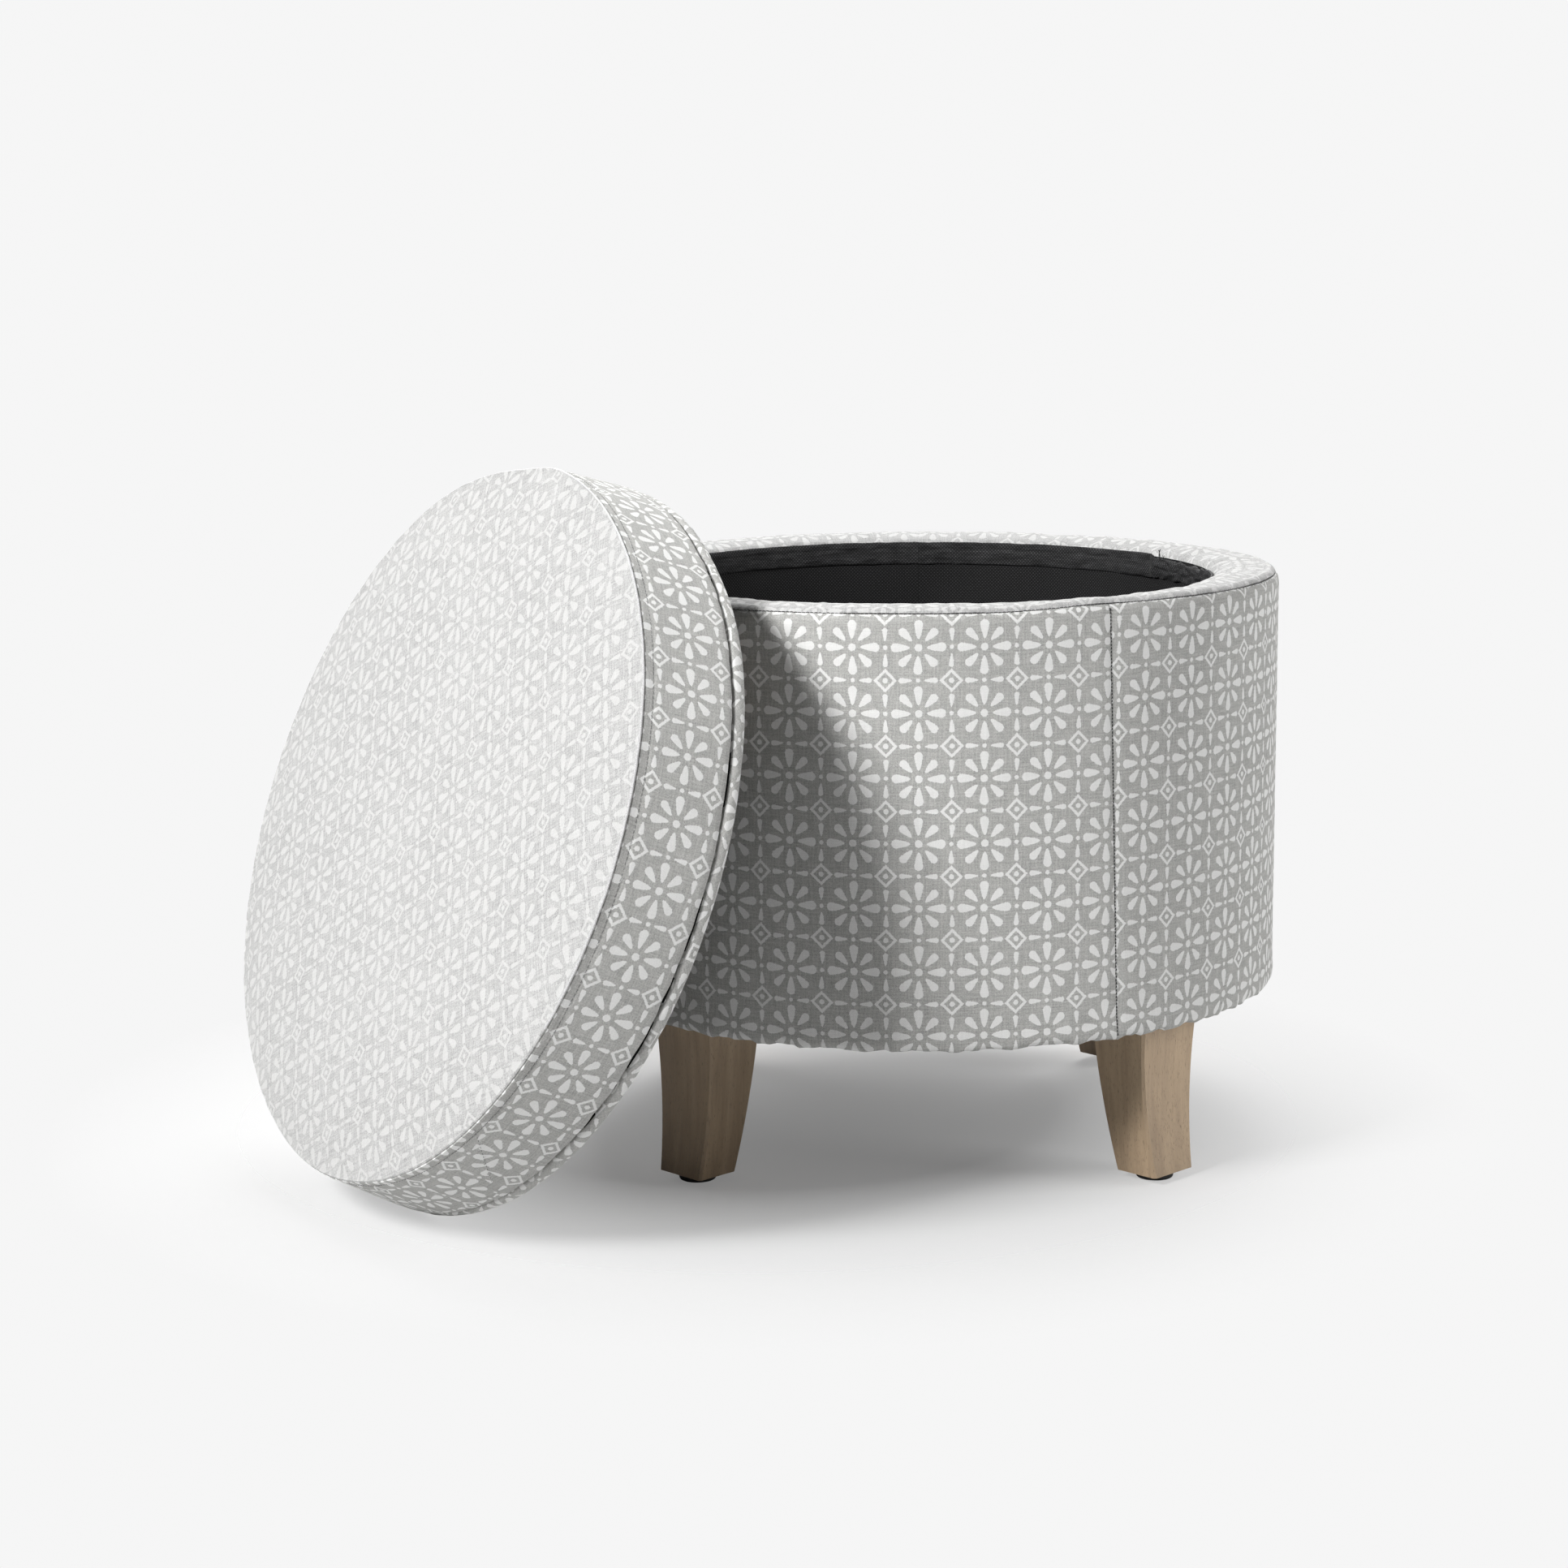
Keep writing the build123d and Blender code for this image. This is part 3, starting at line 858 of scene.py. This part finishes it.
def settleLining(co):
    radius, angle = aroundDrum(co)
    height = (co.z - well["bottom"] / 1000) / well["depth"]
    slack = sin(pi * min(max(height, 0), 1))
    inward = 0.0007 * slack * (0.6 + ripple(angle, co.z * 6, 5, 3))
    inward += 0.0002 * abs(ripple(angle, co.z * 20, 30, 8))
    return fromFront(angle, radius - inward, co.z + height * rimRise(angle))


wallPath = [(well["radius"], height) for height in [well["bottom"], *range(131, 372, 8), well["top"]]]
liningWall = sweepRing("liningWall", wallPath, well["segments"])
sewCloth(liningWall, settleLining, (1000, 250), layRound(0.1962), well["thickness"])
finishPiece(liningWall, "drum", liningFinish)
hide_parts("lining_wall")


def settleFloor(co):
    return co + Vector((0, 0, -0.0002 * abs(noise.noise(co * 18))))


liningFloor = sweepDisc("liningFloor", floorLook)
sewCloth(liningFloor, settleFloor, (0, -1000), layFlat, floorLook["thickness"])
finishPiece(liningFloor, "drum", liningFinish)
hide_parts("lining_floor")

# Binding folded over the lining's top edge, its end lapped and bunched on the far right
tapeLook = {
    "profile": [
        (195.3, 361.0), (194.7, 361.8), (194.5, 368), (194.8, 374), (195.5, 376.6), (196.5, 377.0),
        (196.95, 376.2)],
    "segments": 480, "thickness": 0.0006, "lapTurn": radians(122.4), "bunchTo": radians(93),
    "lapShade": radians(0.15),
}


def settleTape(co):
    radius, angle = aroundDrum(co)
    lap = tapeLook["lapTurn"]
    if abs(angle - lap) < radians(0.8):
        angle = lap + radians(0.2) * (1 if angle > lap else -1)
    bunch = ramp(angle, tapeLook["bunchTo"] - 0.1, tapeLook["bunchTo"] + 0.2) * (angle < lap)
    over = (1 - ramp(angle, lap + 0.04, lap + 0.24)) * (angle > lap)
    wave = 0.0004 * ripple(angle, 0, 12, 4) + 0.0003 * ripple(angle, co.z * 300, 40, 6)
    crush = bunch * (0.0028 * ripple(angle, 0, 13, 14) + 0.0024 * ripple(angle, co.z * 200, 34, 15))
    high = ramp(co.z, 0.3625, 0.3745)
    crease = 0.0005 * (1 - min(abs(co.z - 0.3718) / 0.0012, 1)) * (1 - bunch)
    lift = rimRise(angle) + wave * 0.8 + crush * (0.5 + 0.5 * high) + (over * 0.0006 - bunch * 0.0020) * high
    inward = max(0, 0.0018 * bunch * (0.5 + ripple(angle, co.z * 250, 26, 17)))
    inward += 0.0002 * ripple(angle, co.z * 120, 20, 7) + 0.0013 * over - crease
    return fromFront(angle, radius - inward, co.z + lift)


def paintedShadeAtLap(middle):
    # painted shade: a thin strip at the tape's lap gets the black thread, a dark line where the lapped end
    # steps over
    return abs(angleOf(middle) - tapeLook["lapTurn"]) < tapeLook["lapShade"]


bindingTape = sweepRing("bindingTape", smoothPath(tapeLook["profile"], 0.9), tapeLook["segments"])
sewCloth(bindingTape, settleTape, (1000, 371), layRound(0.195), tapeLook["thickness"])
finishPiece(bindingTape, "drum", tapeFinish)
# painted shade along the lap's edge
finishPart(bindingTape, drumPlace, blackThread, paintedShadeAtLap)
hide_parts("binding_tape")

# Loose ends of thread standing out of the binding beside its lap. Each runs from its first point to
# its last, drawn towards the middle one, in millimetres to the side, inwards and up.
looseEnds = {
    "strands": [
        ((1.8, 0.0, 0.0), (1.6, 1.0, 7.0), (-1.4, 1.2, 9.6)),
        ((-0.6, 0.4, 0.0), (-1.4, 1.4, 5.0), (0.8, 1.2, 9.0)),
        ((-4.2, 0.2, 0.0), (-4.6, 1.2, 3.6), (-6.6, 1.6, 5.6)),
    ],
    "radius": 0.00032, "steps": 8, "turn": radians(119.6), "place": (0, -0.1955, 0.3735),
}


def makeStrand(low, middle, high):
    deselectAll()
    foot = (low[0] / 1000, low[1] / 1000, 0)
    bpy.ops.mesh.primitive_circle_add(vertices=6, radius=looseEnds["radius"], location=foot)
    editAll()
    bpy.ops.mesh.edge_face_add()
    low, middle, high = Vector(low), Vector(middle), Vector(high)
    spot = low / 1000
    for number in range(1, looseEnds["steps"] + 1):
        share = number / looseEnds["steps"]
        bend = low * (1 - share) ** 2 + middle * 2 * share * (1 - share) + high * share ** 2
        bpy.ops.mesh.extrude_region_move(TRANSFORM_OT_translate={"value": bend / 1000 - spot})
        spot = bend / 1000
    bpy.ops.mesh.select_all(action="SELECT")
    bpy.ops.mesh.normals_make_consistent(inside=False)
    stopEditing()
    applyPlace()
    return bpy.context.object


strands = [makeStrand(*points) for points in looseEnds["strands"]]
makeActive(strands[0])
for strand in strands[1:]:
    strand.select_set(True)
bpy.ops.object.join()
looseThreads = nameIt(bpy.context.object, "looseThreads")
threadPlace = turned(looseEnds["turn"]) @ Matrix.Translation(looseEnds["place"])
moveVertices(looseThreads, lambda co: threadPlace @ co)
finishPiece(looseThreads, "drum", blackThread, 60)
print("lining and binding in")

# Dust cloth under the base, stapled near its edge
dustLook = {
    "radius": 225.6, "height": 106.1, "rings": range(220, 8, -10), "segments": 144, "thickness": 0.0005,
}
stapleSize = {"width": 0.010, "wire": 0.0011, "sunk": 0.0006}
dustRow = {"radius": 217, "height": 105.3, "count": 28, "shake": 2}


def settleDust(co):
    radius, angle = aroundDrum(co)
    pull = 0.0004 * ripple(angle, 0, 14, 2) * ramp(radius, 0.12, 0.22)
    return co + Vector((0, 0, -0.00025 + pull * 0.6 - 0.0002 * noise.noise(co * 12)))


dustCover = sweepDisc("dustCover", dustLook)
sewCloth(dustCover, settleDust, (0, 1000), layFlat, dustLook["thickness"])
finishPiece(dustCover, "drum", dustFinish)
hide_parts("dust_cover")


def makeStaple(width, wire, sunk):
    deselectAll()
    bpy.ops.mesh.primitive_cube_add(size=1)
    staple = bpy.context.object
    editAll()
    bpy.ops.transform.resize(value=(width, wire, wire))
    bpy.ops.mesh.bevel(offset=wire * 0.28, segments=2, affect="EDGES")
    stopEditing()
    moveVertices(staple, lambda co: co - Vector((0, 0, sunk * ramp(abs(co.x), width * 0.42, width * 0.5))))
    return staple


def stapleRing(name, radius, height, count, shake):
    random.seed(name)
    places = []
    for number in range(count):
        angle = 2 * pi * (number + random.uniform(-0.15, 0.15)) / count
        reach = -radius + random.uniform(-shake, shake)
        place = turned(angle) @ Matrix.Translation((0, reach / 1000, height / 1000))
        places.append(place @ turned(pi, "X") @ turned(random.uniform(-0.35, 0.35)))
    return copyAll(name, makeStaple(**stapleSize), places)


dustStaples = stapleRing("dustStaples", **dustRow)
finishPiece(dustStaples, "drum", stapleFinish, 50)
print("dust cloth stapled")

# Lid: crowned top, side band and flattened piping, in the lid's own frame
lidTopLook = {
    "profile": [
        (229.2, 66.9), (230.6, 67.2), (230.9, 68.1), (230.2, 68.9), (228.9, 68.6), (227.2, 68.7),
        (223.5, 69.5), (215, 71.2), (198, 73.6), (175, 75.1), (140, 75.8), (80, 76.0), (4, 76.0)],
    "segments": 360, "thickness": 0.0012, "printTurn": radians(-60), "edge": 0.2300,
    "highlightFrom": radians(-24), "highlightTo": radians(115),
}
dent = {
    # how deep, and the angles where it starts, is full, starts to fade and has faded
    "low": (0.0030, 36, 62, 84, 120), "high": (0.0040, 82, 95, 96, 126),
}


def alongArc(angle, deep, start, full, fade, end):
    # a depth that comes and goes along an arc
    share = ramp(angle, radians(start), radians(full))
    return deep * share * (1 - ramp(angle, radians(fade), radians(end)))


def lidDent(angle, height):
    # the cover is squeezed in a little along the upper right of the leaning lid
    low, high = alongArc(angle, *dent["low"]), alongArc(angle, *dent["high"])
    return low + (high - low) * ramp(height, 0.01, 0.067)


def squeezeLid(co):
    # draws a point in by the dent, fading towards the middle
    radius, angle = aroundLid(co)
    return fromRight(angle, radius - lidDent(angle, co.z) * ramp(radius, 0.16, 0.228), co.z)


def settleLidTop(co):
    radius, angle = aroundLid(co)
    near = ramp(radius, 0.196, 0.226)
    tucks = 0.00035 * lidRipple(angle, radius * 10, 30) * near
    swell = 0.0007 * noise.noise(co * 9) * (1 - near) + 0.0003 * noise.noise(co * 26) * (1 - near)
    # low on the left the top's edge is tucked behind the band's
    tucked = alongArc(-angle, 1, 12, 40, 110, 150) * ramp(radius, 0.2275, 0.2305)
    shrink = 1 - 0.0010 * tucked / max(radius, 0.1)
    lift = tucks + swell - 0.0004 * (1 - near) - 0.0006 * tucked
    return squeezeLid(Vector((co.x * shrink, co.y * shrink, co.z + lift)))


def layOnTop(corner, middle):
    along, aside = cos(lidTopLook["printTurn"]), sin(lidTopLook["printTurn"])
    return corner.x * along + corner.y * aside, corner.y * along - corner.x * aside


def onPaintedHighlightEdge(middle):
    # painted highlight: the folded edge along the seam gets a fine pale line where it catches the light, but
    # not low on the left
    radius, angle = aroundLid(middle)
    onEdge = radius > lidTopLook["edge"] - lidDent(angle, 0.068)
    return onEdge and lidTopLook["highlightFrom"] < angle < lidTopLook["highlightTo"]


lidTop = sweepRing("lidTop", smoothPath(lidTopLook["profile"], 4.5), lidTopLook["segments"], pole=True)
sewCloth(lidTop, settleLidTop, (0, 0), layOnTop, lidTopLook["thickness"])
finishPiece(lidTop, "lid", topPaintedShadeFinish)
# painted highlight along the top's folded edge
finishPart(lidTop, lidPlace, paintedHighlightEdgeFinish, onPaintedHighlightEdge)
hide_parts("lid_top_cover")

bandLook = {
    "profile": [
        (227.8, 66.6), (229.6, 66.9), (230.5, 66.3), (230.9, 63.5), (231.2, 61.4), (231.8, 58), (233.9, 44),
        (236.3, 28), (237.8, 16), (238.0, 12.0), (237.5, 10.0), (236.0, 9.0), (233, 8.6), (229.8, 8.5)],
    "segments": 360, "thickness": 0.0012, "stitchLine": 0.0615,
    "radius": 0.2377, "printMiddle": 0.0375, "jump": (0.010, 0.003),
}


def settleBand(co):
    radius, angle = aroundLid(co)
    side = ramp(radius, 0.2288, 0.2296)
    rise = 0.0006 * ramp(angle, 0.1, 0.7) - 0.0002 * (1 - ramp(angle, -1.2, -0.4))
    sewn = 1 - min(abs(co.z - bandLook["stitchLine"]) / 0.0018, 1)
    near = 1 - ramp(0.0675 - co.z, 0.002, 0.016)
    foot = 1 - ramp(co.z, 0.009, 0.02)
    tucks = 0.0005 * lidRipple(angle, co.z * 60, 34) * near
    swell = 0.0008 * lidRipple(angle, co.z * 12, 5)
    pull = 0.0006 * lidRipple(angle, 3, 26) * foot
    reach = radius + side * (tucks + swell * (1 - near) + pull - 0.00045 * sewn)
    lift = foot * (rise + 0.0008 * lidRipple(angle, 7, 9) + 0.0005 * lidRipple(angle, 7, 40))
    return squeezeLid(fromRight(angle, reach, co.z + lift))


def bandJoin(height):
    # the band's ends meet on a slant
    return radians(-52.5 + 270 * (height - 0.037))


def layOnBand(corner, middle):
    start = aroundLid(middle)[1]
    across = bandLook["radius"] * besideAngle(aroundLid(corner)[1], start)
    up = corner.z - bandLook["printMiddle"]
    if -2.6 < start < bandJoin(middle.z):
        return across + bandLook["jump"][0], up + bandLook["jump"][1]
    return across, up


lidBand = sweepRing("lidBand", smoothPath(bandLook["profile"], 1.5), bandLook["segments"])
sewCloth(lidBand, settleBand, (0, 40), layOnBand, bandLook["thickness"])
finishPiece(lidBand, "lid", clothFinish)
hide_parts("lid_side_band")

weltLook = {
    "profile": [
        (212, 1.1), (212, 0.2), (224, 0.1), (233, 0.1), (237.2, 0.5), (238.5, 2.6), (238.6, 5.4),
        (237.8, 7.4), (236.3, 8.1), (234.4, 7.8), (232.6, 8.5), (231.4, 9.2), (230.8, 7.6), (230.5, 1.3),
        (222, 1.2)],
    "segments": 360, "radius": 0.2386, "bias": (0.77, 0.64), "gap": 0.2350,
}


def settleWelt(co):
    radius, angle = aroundLid(co)
    outer = ramp(radius, 0.2305, 0.235)
    wave, dents = lidRipple(angle, 1, 8), lidRipple(angle, co.z * 90, 40)
    reach = radius + outer * (0.0004 * wave + 0.0003 * dents - 0.0003)
    lift = outer * ramp(co.z, 0.002, 0.007) * (0.0012 * wave + 0.0003 * dents)
    return squeezeLid(fromRight(angle, reach, co.z + lift))


def layOnWelt(corner, middle):
    radius, angle = aroundLid(corner)
    around = weltLook["radius"] * besideAngle(angle, aroundLid(middle)[1])
    fold = corner.z + (weltLook["radius"] - radius) * (1 if middle.z > 0.004 else -1)
    along, aside = weltLook["bias"]
    return around * along + fold * aside, fold * along - around * aside


def paintedShadeBehindWelt(middle):
    # painted shade: the faces deep in the gap behind it get the black cloth, which darkens the gap
    radius, angle = aroundLid(middle)
    return middle.z > 0.005 and radius < weltLook["gap"] - lidDent(angle, 0.008)


lidWelt = sweepRing("lidWelt", smoothPath(weltLook["profile"], 1.4), weltLook["segments"], closed=True)
moveVertices(lidWelt, settleWelt)
faceFrom(lidWelt, 234.5, 4)
layCloth(lidWelt, layOnWelt)
finishPiece(lidWelt, "lid", clothFinish)
# painted shade in the gap behind the welt
finishPart(lidWelt, lidPlace, dustFinish, paintedShadeBehindWelt)
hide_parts("lid_welt")

# Stitches round the lid's band under its upper edge, and up the join of the band
bandSeam = {
    "radius": 231.05, "height": 61.4, "pitch": 3.1, "length": 2.2, "width": 0.34, "outward": 0.1,
    "shake": 0.12,
}
joinSeam = {
    "stitches": 23, "from": 0.013, "pitch": 0.00232, "reach": 0.23815, "size": (0.0013, 0.00034, 0.0004),
}
lidStitches = stitchRing("lidStitches", **bandSeam)
random.seed("band join")
places = []
for number in range(joinSeam["stitches"]):
    height = joinSeam["from"] + number * joinSeam["pitch"]
    # the band draws in towards its upper edge
    reach = joinSeam["reach"] - 0.1286 * max(0, height - 0.014)
    place = turned(bandJoin(height) + pi / 2) @ Matrix.Translation((0, -reach, height))
    places.append(place @ turned(pi / 2 - 0.12, "X") @ turned(pi / 2 - 0.85 + random.uniform(-0.3, 0.3)))
joinStitches = copyAll("joinStitches", makeStitch(*joinSeam["size"]), places)
makeActive(lidStitches)
joinStitches.select_set(True)
bpy.ops.object.join()
moveVertices(lidStitches, squeezeLid)
finishPiece(lidStitches, "lid", seamThreadFinish, 60)

lidFoamLook = {
    "profile": [
        (4, 74.4), (80, 74.3), (140, 74), (175, 73.2), (198, 71.6), (215, 69.1), (226, 66.2), (228.2, 64),
        (232.4, 44), (235.4, 20), (235.2, 11.6), (230.6, 11.2), (230.3, 16.3), (160, 16.3), (80, 16.3),
        (4, 16.3)],
    "segments": 180,
}
lidFoam = sweepRing("lidFoam", **lidFoamLook)
makeActive(lidFoam)
bpy.ops.object.mode_set(mode="EDIT")
bpy.ops.mesh.select_all(action="DESELECT")
bpy.ops.mesh.select_non_manifold()
bpy.ops.mesh.edge_face_add()
stopEditing()
moveVertices(lidFoam, squeezeLid)
faceFrom(lidFoam, 0, 40)
finishPiece(lidFoam, "lid", foamFinish)
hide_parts("lid_foam")

# Black cloth under the lid's board, and its staples
liningLook = {
    "radius": 225.7, "height": -0.1, "rings": range(220, 8, -10), "segments": 144, "thickness": 0.0004,
}
lidRow = {"radius": 219, "height": -0.7, "count": 30, "shake": 1.5}


def settleLidLining(co):
    return co + Vector((0, 0, -0.0001 + 0.00015 * noise.noise(co * 20)))


lidLining = sweepDisc("lidLining", liningLook)
sewCloth(lidLining, settleLidLining, (0, 1000), layFlat, liningLook["thickness"])
finishPiece(lidLining, "lid", dustFinish)
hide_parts("lid_lining")
lidStaples = stapleRing("lidStaples", **lidRow)
finishPiece(lidStaples, "lid", stapleFinish, 50)

# Screws through the locating blocks, two in each
screw = {
    "profile": [(3.6, 0.0), (3.5, 0.5), (2.7, 0.95), (1.35, 1.05), (1.2, 0.4)], "segments": 18, "apart": 0.28,
}
screwPlaces = []
for block in [solid for name, solid in solids.items() if name.startswith("locating_block")]:
    toLid = lidPlace.inverted() @ block.matrix_world
    corners = [toLid @ vertex.co for vertex in block.data.vertices]
    blockTurn = atan2(sum(co.y for co in corners), sum(co.x for co in corners))
    corners = [turned(-blockTurn) @ co for co in corners]
    low = Vector(min(co[axis] for co in corners) for axis in range(3))
    high = Vector(max(co[axis] for co in corners) for axis in range(3))
    middle, span = (low + high) / 2, high - low
    for side in (-screw["apart"], screw["apart"]):
        across, along = (side * span.x, 0) if span.x > span.y else (0, side * span.y)
        spot = Matrix.Translation((middle.x + across, middle.y + along, low.z + 0.0001))
        screwPlaces.append(turned(blockTurn) @ spot @ turned(pi, "X"))
screwHead = sweepRing("screwHead", screw["profile"], screw["segments"], pole=True)
blockScrews = copyAll("blockScrews", screwHead, screwPlaces)
finishPiece(blockScrews, "lid", steelFinish, 40)
print("lid covered")

# Feet: a round glide under each leg
glideSize = {"radius": 0.012, "height": 0.0053, "bevel": 0.0016, "circle": 0.209, "firstTurn": radians(-43.3)}
for number in range(4):
    foot = fromRight(glideSize["firstTurn"] + number * pi / 2, glideSize["circle"], glideSize["height"] / 2)
    deselectAll()
    bpy.ops.mesh.primitive_cylinder_add(
        vertices=48, radius=glideSize["radius"], depth=glideSize["height"], location=foot)
    glide = nameIt(bpy.context.object, f"glide_{number + 1}")
    applyPlace()
    editAll()
    bpy.ops.mesh.bevel(offset=glideSize["bevel"], segments=4, affect="EDGES")
    stopEditing()
    finishPiece(glide, "drum", plasticFinish, 50)
    if number == 0:
        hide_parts("leg_glides")

# Rigid parts keep their solids and get their finishes
basePlywood = plywood("basePlywood", (0, 0, 0), (0, 0, 0.1075), 0.018)
bentHardboard = hardboard("bentHardboard")
finishes = {
    "base_board": basePlywood, "top_ring": basePlywood,
    "outer_hoop": bentHardboard, "inner_wall": bentHardboard,
    "lid_board": plywood("lidPlywood", lidTurn.to_euler(), tuple(lidMiddle), 0.015),
}
for name in solids:
    if name.startswith(("post_", "locating_block")):
        finishes[name] = postWood
    elif name in ("leg_bolts", "threaded_inserts"):
        finishes[name] = steelFinish
    elif name.startswith("leg_") and name != "leg_glides":
        finishes[name] = legWood
for name, finish in finishes.items():
    solid = solids[name]
    if not solid.material_slots:
        solid.data.materials.append(finish)
    for slot in solid.material_slots:
        slot.material = finish
print("rigid parts finished")

# Studio: a pale floor that fades into a pale room, and six large lamps
studio = {
    "floor": 0.61, "room": 0.92, "shine": 0.3, "size": 6,
    # how clear the floor is to the camera near the object, and between what distances it fades away
    "thin": 0.2, "fadeFrom": 0.2, "fadeTo": 0.5, "fadeMiddle": (0.0, 0.1, 0), "aim": (0.05, 0.05, 0.25),
}
lamps = {
    # turn from the front to the right, rise, distance, width, height, power
    "keyLamp": (-44, 32, 2.6, 0.7, 0.55, 86),
    "leftLamp": (-62, 40, 2.6, 0.7, 0.55, 12),
    "sideLamp": (84, 20, 2.6, 1.4, 1.4, 37),
    "backLamp": (165, 26, 2.6, 1.6, 1.2, 36),
    "highLamp": (180, 60, 2.6, 1.6, 1.6, 46),
    "backLeftLamp": (-130, 35, 2.6, 1.5, 1.5, 14),
}
deselectAll()
bpy.ops.mesh.primitive_grid_add(x_subdivisions=2, y_subdivisions=2, size=studio["size"], location=(0, 0, 0))
floor = nameIt(bpy.context.object, "studioFloor")
floorFinish, wire = startFinish("studioFloor")
seen = wire.node("ShaderNodeLightPath", output="Is Camera Ray")
place = wire.objectPlace()
reach = wire.vector("LENGTH", wire.vector("SUBTRACT", place, studio["fadeMiddle"]), output=1)
fade = reach.level(studio["fadeFrom"], studio["fadeTo"], studio["thin"], 1) * seen
tone = wire.mix(wire.mottle(place, 9, 3.0), grey(studio["floor"] - 0.01), grey(studio["floor"] + 0.01))
lit = wire.node("ShaderNodeBsdfDiffuse", {}, {"Color": tone})
clear = wire.node("ShaderNodeBsdfTransparent")
shader = wire.node("ShaderNodeMixShader", {}, {0: fade, 1: lit, 2: clear})
wire.node("ShaderNodeOutputMaterial", {}, {"Surface": shader})
floor.data.materials.append(floorFinish)

world = bpy.data.worlds.new("studio")
scene.world = world
world.use_nodes = True
world.node_tree.nodes.clear()
wire = Wire(world.node_tree)
direct, through, glossy = (
    wire.node("ShaderNodeLightPath", output=f"Is {ray} Ray") for ray in ("Camera", "Transmission", "Glossy"))
strength = wire.maths("MAXIMUM", direct, through) * studio["room"] + glossy * studio["shine"]
shader = wire.node("ShaderNodeBackground", {}, {"Color": (1, 1, 1, 1), "Strength": strength})
wire.node("ShaderNodeOutputWorld", {}, {"Surface": shader})

for name, (turn, rise, distance, width, height, power) in lamps.items():
    lamp = bpy.data.lights.new(name, "AREA")
    lamp.shape = "RECTANGLE"
    lamp.size, lamp.size_y = width, height
    lamp.energy = power
    hung = bpy.data.objects.new(name, lamp)
    turn, rise = radians(turn), radians(rise)
    way = Vector((sin(turn) * cos(rise), -cos(turn) * cos(rise), sin(rise)))
    hung.location = Vector(studio["aim"]) + way * distance
    hung.rotation_euler = way.to_track_quat("Z", "Y").to_euler()
    scene.collection.objects.link(hung)
scene.view_settings.view_transform = "Standard"

print("studio lit")
